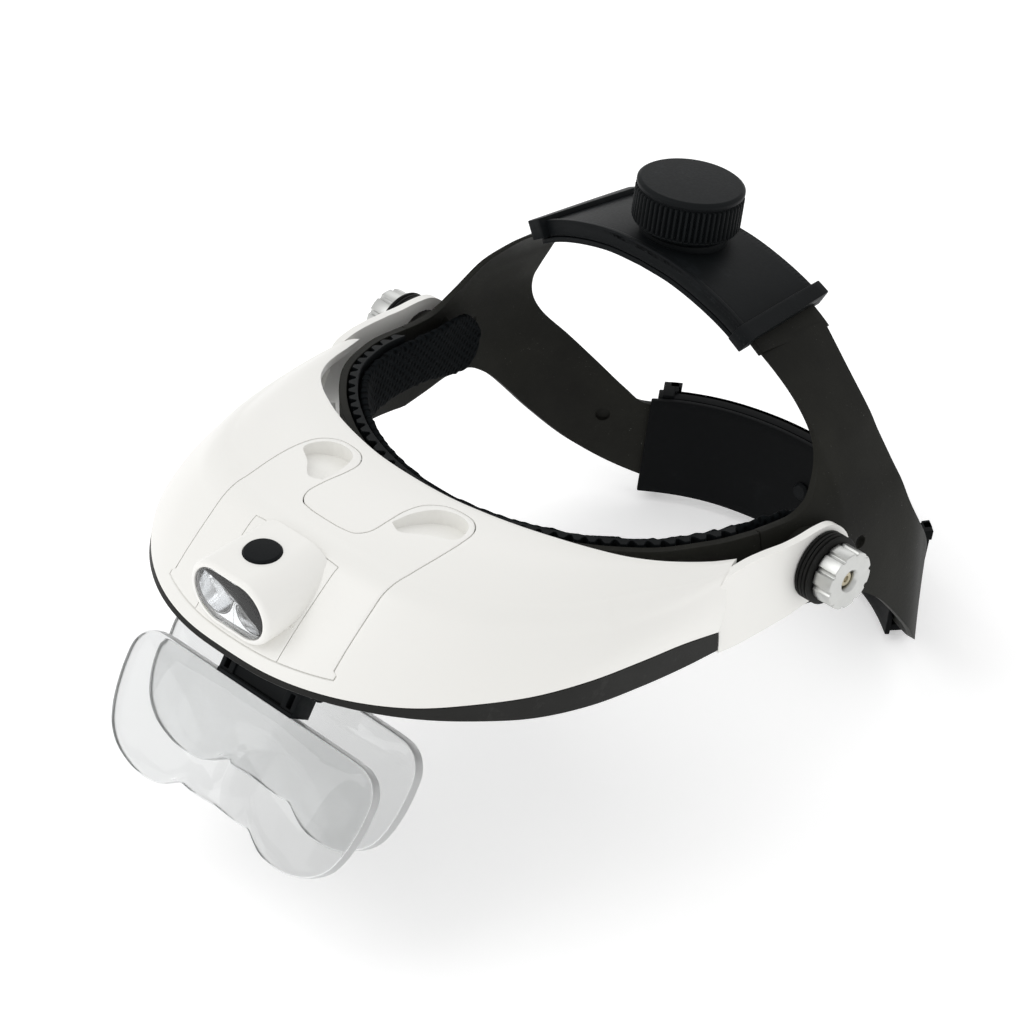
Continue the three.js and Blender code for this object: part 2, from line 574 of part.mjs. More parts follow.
visorNormals.forEach((row, i) => row.forEach((n, j) => {
  const p = visorGrid[i][j];
  if (j > 5 && n.x * p.x + n.y * (p.y + 30) < 0) n.negate();
}));
const visorLayer = (outer, inner, grid = visorGrid) => slabBetween(
  offsetGrid(grid, visorNormals, -outer), offsetGrid(grid, visorNormals, -inner));
// the same skin a little longer at its lower edge, to clear the trim
const longGrid = visorGrid.map((row) => {
  const last = row[row.length - 1];
  const down = last.clone().sub(row[row.length - 3]).normalize();
  return [...row.slice(0, -1), last.clone().addScaledVector(down, GAP + 0.08)];
});

// arm around each pivot: (y, z) outline on a slightly splayed plate
const armOutline = smoothLine([[-44, 5], [-40, 8.4], [-37, 11.6], [-34, 13.7], [-28, 14.5], [-21, 14],
  [-14, 12.9],
  [-7, 12], [0, 11.6], [5.5, 10.4], [9.6, 7.2], [12.4, 2.8], [13.2, -1.4], [11.6, -6.4], [8, -9.8],
    [3, -11.6],
  [-5, -11.8], [-14, -12], [-26, -12.2], [-37.2, -12]], 40);
const ARM_SPLAY = 0.09;       // how fast the arm leans outwards towards the pivot
const ARM_FLAT = 12.5;        // the arm is flat from here back
function visorArm() {
  const outline = [...armOutline, [-37.2, -4.8], [-41, -2], [-44, 1]];
  const flat = prismX(outline, ARM_X - ARM_T, ARM_X);
  const shear = new THREE.Matrix4().set(1, ARM_SPLAY, 0, ARM_SPLAY * ARM_FLAT, 0, 1, 0, 0, 0, 0, 1, 0, 0,
    0, 0, 1);
  const splayed = placed(flat, shear).intersect(boxAt(50, 100, -60, -ARM_FLAT, -40, 40));
  return flat.intersect(boxAt(50, 100, -ARM_FLAT - 0.01, 60, -40, 40)).add(splayed).subtract(boltHole);
}
const shellBody = union([visorLayer(0, VISOR_WALL), visorArm(), mirrored(visorArm())]);

// battery cover outline seen from above, right half from the tongue to the front: (x, y)
const coverRear = smoothLine([[0, -110.3], [6, -110], [10, -108.9], [12.3, -105.5], [12.4, -99], [12, -92],
  [13, -85.6], [16.6, -81.2], [21.5, -79.9], [26.5, -80.6], [30.2, -84.4], [31.6, -91], [31.8, -99],
    [31.3, -109], [30.9, -118.5]], 28);
const coverSide = [[31.1, -137.2], [32.2, -137.4], [32.2, -175]];
function coverOutline(grow) {
  const half = [...coverRear, ...coverSide];
  const shape = half.map(([x, y], i) => {
    const a = half[Math.max(i - 1, 0)];
    const b = half[Math.min(i + 1, half.length - 1)];
    const l = Math.hypot(b[0] - a[0], b[1] - a[1]) || 1;
    return i === 0 ? [0, y + grow] : [x - grow * (b[1] - a[1]) / l, y + grow * (b[0] - a[0]) / l];
  });
  return [...shape.slice(1).reverse().map(([x, y]) => [-x, y]), ...shape].reverse();
}
const COVER_Z = 11.9;         // lower edge of the battery cover
const coverCut = prismZ(coverOutline(0.18), COVER_Z - 0.18, 60);
const coverKeep = prismZ(coverOutline(-0.18), COVER_Z + 0.18, 60);

// lamp opening in the cover, seen along +Y: (x, z), and its top edge in the sloped face
const PLATE_HALF = 16;
const PLATE_TOP_Y = -120.6;
const plateCut = boxAt(-PLATE_HALF - 0.18, PLATE_HALF + 0.18, -175, PLATE_TOP_Y + 0.18, 0, 60);

// finger scoops at the rear corners of the cover
const scoopOutline = smoothLine([[13.4, -98.5], [14.2, -90.5], [17, -84], [21.6, -81.6], [26.3, -82.6],
  [29.2, -86.4], [29.6, -90.5], [24, -94.5], [17.5, -99.8], [13.4, -98.5]], 22).slice(0, -1);
const scoopGrown = scoopOutline.map(([x, y]) => [21.5 + (x - 21.5) * 1.14, -90.3 + (y + 90.3) * 1.1]);
const scoopAbove = (drop) => prismX([[-108, 32.6 - drop], [-80.6, 24.6 - drop], [-78, 24.6 - drop],
  [-78, 50],
  [-108, 50]], 5, 40);
const SCOOP_WALL = 2;
function batteryCover() {
  const skin = visorLayer(0, VISOR_WALL);
  const pads = [1, -1].map((s) => {
    const grown = prismZ(scoopGrown, 10, 60).intersect(scoopAbove(SCOOP_WALL));
    return visorLayer(0.2, 8).intersect(s > 0 ? grown : mirrored(grown));
  });
  const cut = prismZ(scoopOutline, 10, 60).intersect(scoopAbove(0));
  return union([skin, ...pads]).intersect(coverKeep).subtract(plateCut).subtract(union([cut,
    mirrored(cut)]));
}
addPiece('visor_shell', shellBody.subtract(coverCut), 'white');
addPiece('battery_cover', batteryCover(), 'white');

// ---- black rim and floor under the visor ----
const FLOOR_T = 2;
function trimRow(u) {
  const [crest, low, edge] = [1, 2, 3].map((k) => stationCurves[k].getPoint(u));
  const down = edge.clone().sub(low).normalize();
  const start = low.clone().addScaledVector(down, GAP + 0.05);
  const inward = V(-edge.x, -(edge.y + 55), 0).normalize();
  const half = Math.abs(2 * u - 1);
  const width = 5 + 30 * (1 - smooth(0.28, 0.62, half));
  const floor = edge.clone().addScaledVector(inward, width);
  const outer = [start, start.clone().lerp(edge, 0.5), edge, edge.clone().addScaledVector(inward, 2.6),
    floor];
  const inner = [start.clone().addScaledVector(inward, 1.9), start.clone().lerp(edge,
    0.5).addScaledVector(inward, 1.95),
    edge.clone().addScaledVector(inward, 2).add(V(0, 0, FLOOR_T)),
    edge.clone().addScaledVector(inward, 2.7).add(V(0, 0, FLOOR_T)), floor.clone().add(V(0, 0, FLOOR_T))];
  return [outer, inner];
}
const trimRows = Array.from({ length: VISOR_STEPS + 1 }, (_, i) => trimRow(i / VISOR_STEPS));
const trimBody = slabBetween(trimRows.map((r) => r[0]), trimRows.map((r) => r[1]));
const FLOOR_Z = 7.2;
const floorPlate = boxAt(-31, 31, -VISOR_REACH + 10.5, -97, FLOOR_Z, FLOOR_Z + FLOOR_T + 0.6);
const armRelief = boxAt(60, 100, -37.6, 30, -40, 40);
const shellClearance = visorLayer(-3, VISOR_WALL + GAP, longGrid);
const trimAll = trimBody.add(floorPlate).subtract(union([shellClearance, armRelief, mirrored(armRelief)]));
addPiece('under_trim', trimAll, 'black');


// ---- pivots, one each side ----
function pivotBolt() {
  return turned([[0, BOSS_IN - 1.3], [3.6, BOSS_IN - 1.3], [4.2, BOSS_IN - 0.9], [4.2, BOSS_IN - GAP],
    [PIVOT_R, BOSS_IN - GAP],
    [PIVOT_R, NUT_X + NUT_T - 1.3], [PIVOT_R - 0.5, NUT_X + NUT_T - 0.8], [1, NUT_X + NUT_T - 0.8],
    [0.8, NUT_X + NUT_T - 1.5], [0, NUT_X + NUT_T - 1.5]], 16);
}
function frictionRing(x) {
  const bore = PIVOT_R + GAP;
  return turnedRing([[bore, x], [RING_R, x], [RING_R, x + 0.8], [RING_R - 0.6, x + 1.1],
    [RING_R, x + 1.4], [RING_R, x + RING_T], [bore, x + RING_T]], 24);
}
function thumbNut() {
  const lobes = 10;
  const pts = [];
  for (let i = 0; i < lobes * 4; i++) {
    const k = (i % 4) / 4;
    const r = NUT_R - (k > 0.4 && k < 0.8 ? 0.8 : 0);
    const a = 2 * Math.PI * i / (lobes * 4);
    pts.push([r * Math.cos(a), r * Math.sin(a)]);
  }
  const body = prismZ(pts, NUT_X, NUT_X + NUT_T, 0.4);
  const bore = turned([[0, NUT_X - 5], [PIVOT_R + GAP, NUT_X - 5], [PIVOT_R + GAP, NUT_X + NUT_T - 1.6],
    [4.6, NUT_X + NUT_T - 1], [5, NUT_X + NUT_T + 5], [0, NUT_X + NUT_T + 5]], 20);
  return body.subtract(bore);
}
const SPACER_X = BOSS_OUT + GAP;
for (const side of [1, -1]) {
  const tag = side > 0 ? 'left' : 'right';
  const stand = alongX(side, 0);
  const spacer = turnedRing([[PIVOT_R + GAP, SPACER_X], [8, SPACER_X], [8, ARM_X - ARM_T - GAP],
    [PIVOT_R + GAP, ARM_X - ARM_T - GAP]], 20);
  addPiece('pivot_bolt_' + tag, placed(pivotBolt(), stand), 'brass');
  addPiece('pivot_spacer_' + tag, placed(spacer, stand), 'black');
  addPiece('friction_ring_inner_' + tag, placed(frictionRing(RING_X), stand), 'black');
  addPiece('friction_ring_outer_' + tag, placed(frictionRing(RING_X + RING_T + GAP), stand), 'black');
  addPiece('thumb_nut_' + tag, placed(thumbNut(), stand), 'steel');
}

// ---- lamp ----
const POD_Z = 23.7;           // middle height of the lamp pod
const POD_R = 10.3;           // half height of the lamp pod
const POD_FRONT = -145.8;
function stadium(half, r, steps = 7) {
  const pts = [];
  for (const s of [1, -1]) {
    for (let i = 0; i <= steps; i++) {
      const a = s * Math.PI / 2 - Math.PI * i / steps;
      pts.push([s * (half - r) + r * Math.cos(a), POD_Z + r * Math.sin(a)]);
    }
  }
  return pts.reverse();
}
const plateSlope = [[-120.8, 31.7], [-146.2, 12.05]];
function lampHousing() {
  const above = prismX([[-119.4, 30.3], [-119.4, 60], [-170, 60], [-170, 10.5], [-145, 10.5]], -40, 40);
  const pod = union([prismY(stadium(POD_HALF, POD_R), POD_FRONT + 0.8, -118),
    prismY(stadium(POD_HALF - 0.7, POD_R - 0.7), POD_FRONT, -130)]).intersect(above);
  const slab = prismX([plateSlope[0], plateSlope[1], [-144.4, 12.05], [-119.6, 31.4]], -15.7, 15.7);
  const hollow = prismY(stadium(POD_HALF - 1.5, POD_R - 1.5), -143.4, -90);
  const mouth = prismY(stadium(POD_HALF - 1.9, POD_R - 1.9), -160, -140);
  const post = (x) => boxAt(x - 1.2, x + 1.2, -137, -132.6, 10.1, 19);
  const buttonHole = turned([[0, 28], [BUTTON_R + GAP, 28], [BUTTON_R + GAP, 40], [0, 40]],
    28).translate(0, -132.9, 0);
  const behind = boxAt(-40, 40, -120.8, 0, 0, 60);
  return union([pod, slab, post(13.9), post(-13.9)]).subtract(union([hollow, mouth, buttonHole, behind]));
}
addPiece('lamp_housing', lampHousing(), 'white');
const windowShape = stadium(POD_HALF - 1.9 - GAP, POD_R - 1.9 - GAP);
addPiece('lamp_window', prismY(windowShape, POD_FRONT + 0.2, POD_FRONT + 1.8, 0.3), 'clear');
addPiece('lamp_button', turned([[0, 31.2], [BUTTON_R + 1, 31.2], [BUTTON_R + 1, 32], [BUTTON_R, 32],
  [BUTTON_R, 34.2],
  [BUTTON_R - 0.6, 34.8], [0, 34.8]], 32).translate(0, -132.9, 0), 'black');
const FORWARD = frameMatrix(V(1, 0, 0), V(0, 0, 1), V(0, -1, 0), V(0, 0, 0));
for (const side of [1, -1]) {
  const tag = side > 0 ? 'left' : 'right';
  const cup = turnedRing([[2.1, 133], [2.8, 133], [5, 137], [6.3, 143], [5.8, 143], [4.4, 137.2],
    [2.1, 133.8]], 20);
  const led = turned([[0, 130.3], [1.7, 130.3], [1.7, 135.4], [1.2, 136.4], [0, 136.9]], 10);
  addPiece('reflector_' + tag, placed(cup, FORWARD).translate(side * 6.6, 0, POD_Z - 0.4), 'chrome');
  addPiece('led_' + tag, placed(led, FORWARD).translate(side * 6.6, 0, POD_Z - 0.4), 'led');
}
addPiece('lamp_board', boxAt(-12, 12, -130, -128.7, 19, 28), 'board');
addPiece('lamp_switch', boxAt(-2.4, 2.4, -135.4, -130.3, 25.6, 29.9), 'black');

// ---- batteries in their tray ----
// three cells in a row across the head, each below the scoops' underside or the sloping front
const scoopUnder = (y) => 30.6 - (y + 108) * 8 / 27.4;
const cellY3 = -128.4 + CELL_R;
const cellY2 = cellY3 + 2 * CELL_R - 0.2;
const cellY1 = cellY2 + 2 * CELL_R + 0.4;
const cellTop = scoopUnder(cellY1) - 0.7;
const CELLS = [[cellY1, cellTop - CELL_R], [cellY2, cellTop - CELL_R], [cellY3, cellTop - 4.4 - CELL_R]];
const TRAY_Z = FLOOR_Z + FLOOR_T + 0.6 + GAP;
function cellBody(y, z, r, half) {
  return solidFrom(new THREE.CylinderGeometry(r, r, 2 * half, 22).rotateZ(Math.PI / 2)).translate(0, y, z);
}
CELLS.forEach(([y, z], i) => {
  const tip = cellBody(y, z, 2, 1).translate((i % 2 ? -1 : 1) * (CELL_L / 2 - 1), 0, 0);
  const can = cellBody(y, z, CELL_R, CELL_L / 2 - 0.6).translate((i % 2 ? 1 : -1) * 0.6, 0, 0);
  addPiece('battery_' + (i + 1), can.add(tip), 'cell');
});
const END_X = CELL_L / 2 + GAP;
function batteryTray() {
  const rear = cellY1 + CELL_R + 1;
  const base = boxAt(-END_X - 2.8, END_X + 2.8, -127, rear, TRAY_Z, TRAY_Z + 2);
  const wall = [[-127, TRAY_Z + 1], [rear, TRAY_Z + 1], [rear, 21], [cellY1 + 1.2, cellTop - 4.2],
    [-118, 24],
    [-127, 19.5]];
  const walls = [14.5, -14.5].map((x) => prismX(wall, x - 1, x + 1));
  const ends = [END_X + 1.8, -END_X - 1.8].map((x) => prismX(wall, x - 1, x + 1));
  const wells = CELLS.map(([y, z]) => cellBody(y, z, CELL_R + GAP, CELL_L / 2 + 0.1)
    .add(boxAt(-20, 20, y - CELL_R - GAP, y + CELL_R + GAP, z, 40)));
  return union([base, ...walls, ...ends]).subtract(union(wells));
}
addPiece('battery_tray', batteryTray(), 'black');
for (const side of [1, -1]) {
  const strip = prismX([[-126, 14.4], [-99, 18], [-99, 23], [-117, 23.6], [-126, 19]], END_X, END_X + 0.5);
  addPiece('contact_' + (side > 0 ? 'left' : 'right'), side > 0 ? strip : mirrored(strip), 'steel');
}

// ---- lens plates, their holders and the bracket ----
// a lens frame: a point on the plate's origin line, the direction down the plate and the one out of its
// front
function lensFrame(y, z, tilt) {
  const a = tilt * Math.PI / 180;
  const down = V(0, -Math.sin(a), -Math.cos(a));
  const front = V(0, -Math.cos(a), Math.sin(a));
  const at = (n, s) => [y + front.y * n + down.y * s, z + front.z * n + down.z * s];
  return { at, matrix: frameMatrix(V(1, 0, 0), down, front.clone().negate(), V(0, y, z)) };
}
const frontLens = lensFrame(-132.5, -11, 34.6);
const rearLens = lensFrame(-117.1, -11, 31.4);
// right half of a lens plate, from the tab round the magnifying area to the nose notch: (x, down)
const LENS_EDGE = smoothLine([[36, 4.6], [42, 5.2], [45.5, 7.2], [47.8, 11], [LENS_HALF, 17], [47.5, 24],
  [46, 30],
  [43.5, 35], [39, 39], [32, 41.7], [26, 42.3], [20.5, 41.5], [16.5, 39.3], [14, 37.8], [9, 38],
    [0, 37.6]], 20);
const TAB_HALF_T = 1.2;
const SLOT_DEEP = 1.4;
function lensPlate() {
  const half = [[LENS_TAB + 1, 4.6], ...LENS_EDGE];
  const outline = [...half, ...half.slice(0, -1).reverse().map(([x, s]) => [-x, s])];
  const plate = prismZ(outline, -LENS_T / 2, LENS_T / 2, 0.6);
  return plate.add(boxAt(-LENS_TAB, LENS_TAB, -SLOT_DEEP + GAP, 7, -TAB_HALF_T, TAB_HALF_T));
}
const PIN_N = 0.8;            // hinge pin in front of the lens plane
const PIN_S = -7;             // and above its origin line
function lensHolder(lens) {
  const outline = [[-3, 3.9], [-3, -3.6], [-2.4, -7.4], [-1, -9.6], [0.8, -10.3], [2.6, -9.6], [4, -7.4],
    [4.6, -4], [4.6, 3.9]];
  const block = prismX(outline.map(([n, s]) => lens.at(n, s)).reverse(), -HOLDER_HALF, HOLDER_HALF);
  const slot = placed(boxAt(-LENS_TAB - GAP, LENS_TAB + GAP, -SLOT_DEEP, 12, -TAB_HALF_T - GAP,
    TAB_HALF_T + GAP), lens.matrix);
  const notch = (x) => placed(boxAt(x - 1.5, x + 1.5, 0.4, 1.6, -6, -4), lens.matrix);
  return union([block]).subtract(union([slot, pinRod(lens, PIN_R + GAP, 40), notch(11.5), notch(-11.5)]));
}
function pinRod(lens, r, half) {
  const [y, z] = lens.at(PIN_N, PIN_S);
  return solidFrom(new THREE.CylinderGeometry(r, r, 2 * half, 14).rotateZ(Math.PI / 2)).translate(0, y, z);
}
const LUG_IN = HOLDER_HALF + GAP;
const LUG_OUT = LUG_IN + 3.4;
const BRACKET_TOP = 6.4;
function holderBracket() {
  const plate = boxAt(-LUG_OUT, LUG_OUT, -137, -108, BRACKET_TOP - 2.4, BRACKET_TOP);
  const round = (lens) => {
    const [y, z] = lens.at(PIN_N, PIN_S);
    return Array.from({ length: 9 }, (_, i) => [y - 4 * Math.cos(Math.PI * i / 8),
      z - 4 * Math.sin(Math.PI * i / 8)]);
  };
  const view = [[-135, BRACKET_TOP], ...round(frontLens), ...round(rearLens), [-108.6, BRACKET_TOP]];
  const lugs = [prismX(view, LUG_IN, LUG_OUT), prismX(view, -LUG_OUT, -LUG_IN)];
  return union([plate, ...lugs]).subtract(union([pinRod(frontLens, PIN_R + 0.2, 40), pinRod(rearLens,
    PIN_R + 0.2, 40)]));
}
addPiece('holder_bracket', holderBracket(), 'black');
for (const [tag, lens] of [['front', frontLens], ['rear', rearLens]]) {
  addPiece(tag + '_holder', lensHolder(lens), 'black');
  addPiece(tag + '_pin', pinRod(lens, PIN_R, LUG_OUT + 0.6), 'steel');
  addPiece(tag + '_lens', placed(lensPlate(), lens.matrix), 'clear');
}

export default part;
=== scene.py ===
"""Head-worn magnifier: the looks of the white tilting visor, its lamp and clear lens plates, and the black headband.
Lengths are worked out in millimetres in the part's own frame and go into the meshes in metres."""
import math

import bmesh
import bpy
import numpy as np
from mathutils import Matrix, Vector


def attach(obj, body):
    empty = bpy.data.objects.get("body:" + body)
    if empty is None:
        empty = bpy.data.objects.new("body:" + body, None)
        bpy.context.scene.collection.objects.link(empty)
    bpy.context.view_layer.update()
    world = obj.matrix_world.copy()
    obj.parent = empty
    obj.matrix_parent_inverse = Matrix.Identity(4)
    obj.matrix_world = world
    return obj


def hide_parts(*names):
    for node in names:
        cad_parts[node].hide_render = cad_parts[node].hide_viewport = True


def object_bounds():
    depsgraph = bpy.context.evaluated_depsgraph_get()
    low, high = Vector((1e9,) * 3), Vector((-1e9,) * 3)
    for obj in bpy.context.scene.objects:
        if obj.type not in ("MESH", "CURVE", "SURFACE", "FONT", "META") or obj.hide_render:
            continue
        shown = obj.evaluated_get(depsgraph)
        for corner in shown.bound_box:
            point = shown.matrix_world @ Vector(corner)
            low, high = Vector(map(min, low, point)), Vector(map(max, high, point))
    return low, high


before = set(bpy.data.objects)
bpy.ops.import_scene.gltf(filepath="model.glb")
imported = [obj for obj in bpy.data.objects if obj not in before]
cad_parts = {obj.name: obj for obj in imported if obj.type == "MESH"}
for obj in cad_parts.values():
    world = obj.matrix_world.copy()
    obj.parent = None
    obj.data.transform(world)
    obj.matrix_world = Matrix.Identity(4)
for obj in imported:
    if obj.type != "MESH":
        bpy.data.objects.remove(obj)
cad_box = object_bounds()
scene = bpy.context.scene

# ---- driving sizes, the same as the part's ----
GAP = 0.3
VISOR_WALL = 2.2
BAND_T = 2.2
SLOT = BAND_T / 2 + 0.4
SLEEVE = SLOT + 1.6
KNOB_R, KNOB_H, KNOB_LIFT = 15.6, 13.4, 2.7
NUT_R, NUT_T, NUT_X = 8.7, 6.4, 85.3
BUTTON_PLACE = (0, -132.9, 0)
KEYHOLE_Y, KEYHOLE_Z, KEYHOLE_R = 65, -56, 2.3
X_AXES, Z_AXES = ((0, 1, 0), (0, 0, 1), (1, 0, 0)), ((1, 0, 0), (0, 1, 0), (0, 0, 1))
RING_X, RING_R, RING_T = 80.3, 10.3, 2.2
ARM_X, ARM_T = 80.0, 2.4
NAPE_LEAN, NAPE_Z = 0.21, -66.0
STRAP_Y0, STRAP_Y1, CROWN_MID = 15.2, 43.4, 29.3
SPLIT_Y = -14.0


# ---- curves and surfaces as whole arrays ----
def spline(points, t, closed=False, even=False):
    """Catmull-Rom curve through the points at parameters t from 0 to 1: on each span, the cubic whose end slopes come
    from the neighbouring points, weighted by the square root of the spans' lengths, or half the chord when even."""
    p = np.asarray(points, float)
    n = len(p)
    spans = n if closed else n - 1
    x = np.clip(np.asarray(t, float), 0, 1) * spans
    i = np.minimum(x.astype(int), spans - 1)
    w = (x - i)[:, None]
    if closed:
        p0, p1, p2, p3 = (p[(i + k) % n] for k in (-1, 0, 1, 2))
    else:
        ext = np.vstack([2 * p[0] - p[1], p, 2 * p[-1] - p[-2]])
        p0, p1, p2, p3 = (ext[i + k] for k in (0, 1, 2, 3))
    if even:
        m1, m2 = (p2 - p0) / 2, (p3 - p1) / 2
    else:
        d0, d1, d2 = (np.maximum(np.linalg.norm(b - a, axis=1), 1e-9)[:, None] ** 0.5
                      for a, b in ((p0, p1), (p1, p2), (p2, p3)))
        m1 = ((p1 - p0) / d0 - (p2 - p0) / (d0 + d1) + (p2 - p1) / d1) * d1
        m2 = ((p2 - p1) / d1 - (p3 - p1) / (d1 + d2) + (p3 - p2) / d2) * d1
    c2, c3 = -3 * p1 + 3 * p2 - 2 * m1 - m2, 2 * p1 - 2 * p2 + m1 + m2
    return ((c3 * w + c2) * w + m1) * w + p1


def line(points, samples):
    """Smooth open line through the points."""
    return spline(points, np.linspace(0, 1, samples))


def eased(a, b, x):
    """0 before a, 1 after b, a smooth step between: 3k^2 - 2k^3."""
    k = np.clip((x - a) / (b - a), 0, 1)
    return k * k * (3 - 2 * k)


def table(points):
    """Smooth function of one variable through (x, value) pairs."""
    dense = spline(points, np.linspace(0, 1, 400))
    return lambda x: np.interp(x, dense[:, 0], dense[:, 1])


def unit(v):
    return v / np.maximum(np.linalg.norm(v, axis=-1, keepdims=True), 1e-12)


def normals_of(grid):
    """Unit normals of a grid of points: the cross product of its two central differences."""
    return unit(np.cross(np.gradient(grid, axis=0), np.gradient(grid, axis=1)))


# ---- meshes ----
def piece(name, verts, faces, smooth=34):
    """Mesh object from points in millimetres and a list of face index arrays; doubles merged, faces turned outwards,
    edges sharper than the smooth angle kept crisp."""
    mesh = bpy.data.meshes.new(name)
    mesh.from_pydata((np.asarray(verts, float) / 1000).tolist(), [],
                     [f.tolist() if hasattr(f, "tolist") else f for f in faces])
    bm = bmesh.new()
    bm.from_mesh(mesh)
    bmesh.ops.remove_doubles(bm, verts=bm.verts, dist=1e-7)
    bmesh.ops.dissolve_degenerate(bm, edges=bm.edges, dist=1e-8)
    bmesh.ops.recalc_face_normals(bm, faces=bm.faces)
    bm.to_mesh(mesh)
    bm.free()
    obj = bpy.data.objects.new(name, mesh)
    scene.collection.objects.link(obj)
    shade(obj, smooth)
    return obj


def shade(obj, smooth):
    mesh = obj.data
    mesh.polygons.foreach_set("use_smooth", np.ones(len(mesh.polygons), bool))
    mesh.set_sharp_from_angle(angle=math.radians(smooth))


def settled(obj, smooth=None):
    """The object with its modifiers worked into its mesh."""
    bpy.context.view_layer.update()
    deps = bpy.context.evaluated_depsgraph_get()
    mesh = bpy.data.meshes.new_from_object(obj.evaluated_get(deps))
    obj.modifiers.clear()
    obj.data = mesh
    if smooth:
        shade(obj, smooth)
    return obj


def combined(obj, other, how):
    """obj joined with, cut by or kept inside another closed mesh, which is used up."""
    mod = obj.modifiers.new(how.lower(), "BOOLEAN")
    mod.operation = how
    mod.solver = "MANIFOLD"
    mod.object = other
    settled(obj)
    bpy.data.objects.remove(other)
    return obj


def joined(name, objects, smooth=34):
    """Several meshes as one piece."""
    bm = bmesh.new()
    for o in objects:
        bm.from_mesh(o.data)
    mesh = bpy.data.meshes.new(name)
    bm.to_mesh(mesh)
    bm.free()
    for o in objects:
        bpy.data.objects.remove(o)
    obj = bpy.data.objects.new(name, mesh)
    scene.collection.objects.link(obj)
    shade(obj, smooth)
    return obj


def beveled(obj, width, segments=2, angle=40, smooth=34):
    """Edges sharper than the angle rounded to the width, in millimetres."""
    mod = obj.modifiers.new("round", "BEVEL")
    mod.width = width / 1000
    mod.segments = segments
    mod.limit_method = "ANGLE"
    mod.angle_limit = math.radians(angle)
    mod.harden_normals = False
    return settled(obj, smooth)


def slab_faces(n, m, loop=False):
    """Faces of a closed slab between two n by m grids, the second after the first."""
    t = np.arange(n * m).reshape(n, m)
    if loop:
        t = np.vstack([t, t[:1]])
    b = t + n * m
    def quads(p, q, r, s):
        return list(np.stack([p.ravel(), q.ravel(), r.ravel(), s.ravel()], 1))
    faces = quads(t[:-1, :-1], t[1:, :-1], t[1:, 1:], t[:-1, 1:])
    faces += quads(b[:-1, :-1], b[:-1, 1:], b[1:, 1:], b[1:, :-1])
    faces += quads(t[:-1, 0], b[:-1, 0], b[1:, 0], t[1:, 0])
    faces += quads(t[:-1, -1], t[1:, -1], b[1:, -1], b[:-1, -1])
    if not loop:
        faces += quads(t[0, :-1], t[0, 1:], b[0, 1:], b[0, :-1])
        faces += quads(t[-1, :-1], b[-1, :-1], b[-1, 1:], t[-1, 1:])
    return faces


def slab(name, top, bottom, loop=False, smooth=34):
    """Closed slab between two grids of points."""
    n, m = top.shape[:2]
    return piece(name, np.vstack([top.reshape(-1, 3), bottom.reshape(-1, 3)]), slab_faces(n, m, loop), smooth)


AXES = {"x": (1, 2, 0), "y": (0, 2, 1), "z": (0, 1, 2)}


def prism(name, outline, low, high, axis, smooth=34):
    """Flat outline swept straight along an axis: (y, z) along x, (x, z) along y, (x, y) along z."""
    p = np.asarray(outline, float)
    n = len(p)
    verts = np.zeros((2 * n, 3))
    a, b, c = AXES[axis]
    verts[:, a], verts[:, b] = np.tile(p[:, 0], 2), np.tile(p[:, 1], 2)
    verts[:n, c], verts[n:, c] = low, high
    i = np.arange(n)
    j = (i + 1) % n
    return piece(name, verts, list(np.stack([i, j, j + n, i + n], 1)) + [i, i[::-1] + n], smooth)


def block(name, x0, x1, y0, y1, z0, z1):
    return prism(name, [(x0, y0), (x1, y0), (x1, y1), (x0, y1)], z0, z1, "z")


def turned(name, profile, axes, origin, steps=96, radius=None, smooth=34):
    """Surface of revolution: each (radius, height) pair is a ring about the third of three axes through the origin.
    radius, if given, is a function of the angles and the pair's own radius and height."""
    p = np.asarray(profile, float)
    a = np.linspace(0, 2 * np.pi, steps, endpoint=False)
    r = np.repeat(p[:, :1], steps, axis=1)
    h = np.repeat(p[:, 1:], steps, axis=1)
    if radius is not None:
        r = radius(a[None, :], r, h)
    x, y, z = (np.asarray(v, float) for v in axes)
    pts = (np.asarray(origin, float) + r[..., None] * (np.cos(a)[None, :, None] * x + np.sin(a)[None, :, None] * y)
           + h[..., None] * z)
    n = len(p)
    t = np.arange(n * steps).reshape(n, steps)
    t = np.hstack([t, t[:, :1]])
    faces = list(np.stack([t[:-1, :-1].ravel(), t[:-1, 1:].ravel(), t[1:, 1:].ravel(), t[1:, :-1].ravel()], 1))
    return piece(name, pts.reshape(-1, 3), faces, smooth)


def rounded(profile, radius=0.4, steps=4):
    """A (radius, height) profile with its inner corners rounded: each corner gives way to a quadratic curve."""
    p = np.asarray(profile, float)
    out = [p[0]]
    for a, b, c in zip(p[:-2], p[1:-1], p[2:]):
        la, lc = np.linalg.norm(a - b), np.linalg.norm(c - b)
        s, e = b + (a - b) * min(radius / la, 0.45), b + (c - b) * min(radius / lc, 0.45)
        k = np.linspace(0, 1, steps)[:, None]
        out.extend((1 - k) ** 2 * s + 2 * k * (1 - k) * b + k * k * e)
    out.append(p[-1])
    return np.array(out)


def dressed(obj, body, finish, slot, *nodes):
    """The piece rides on its body, wears its finish and stands for its CAD nodes."""
    obj.data.materials.clear()
    obj.data.materials.append(finish)
    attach(obj, body)
    if nodes:
        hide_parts(*nodes)
    return obj


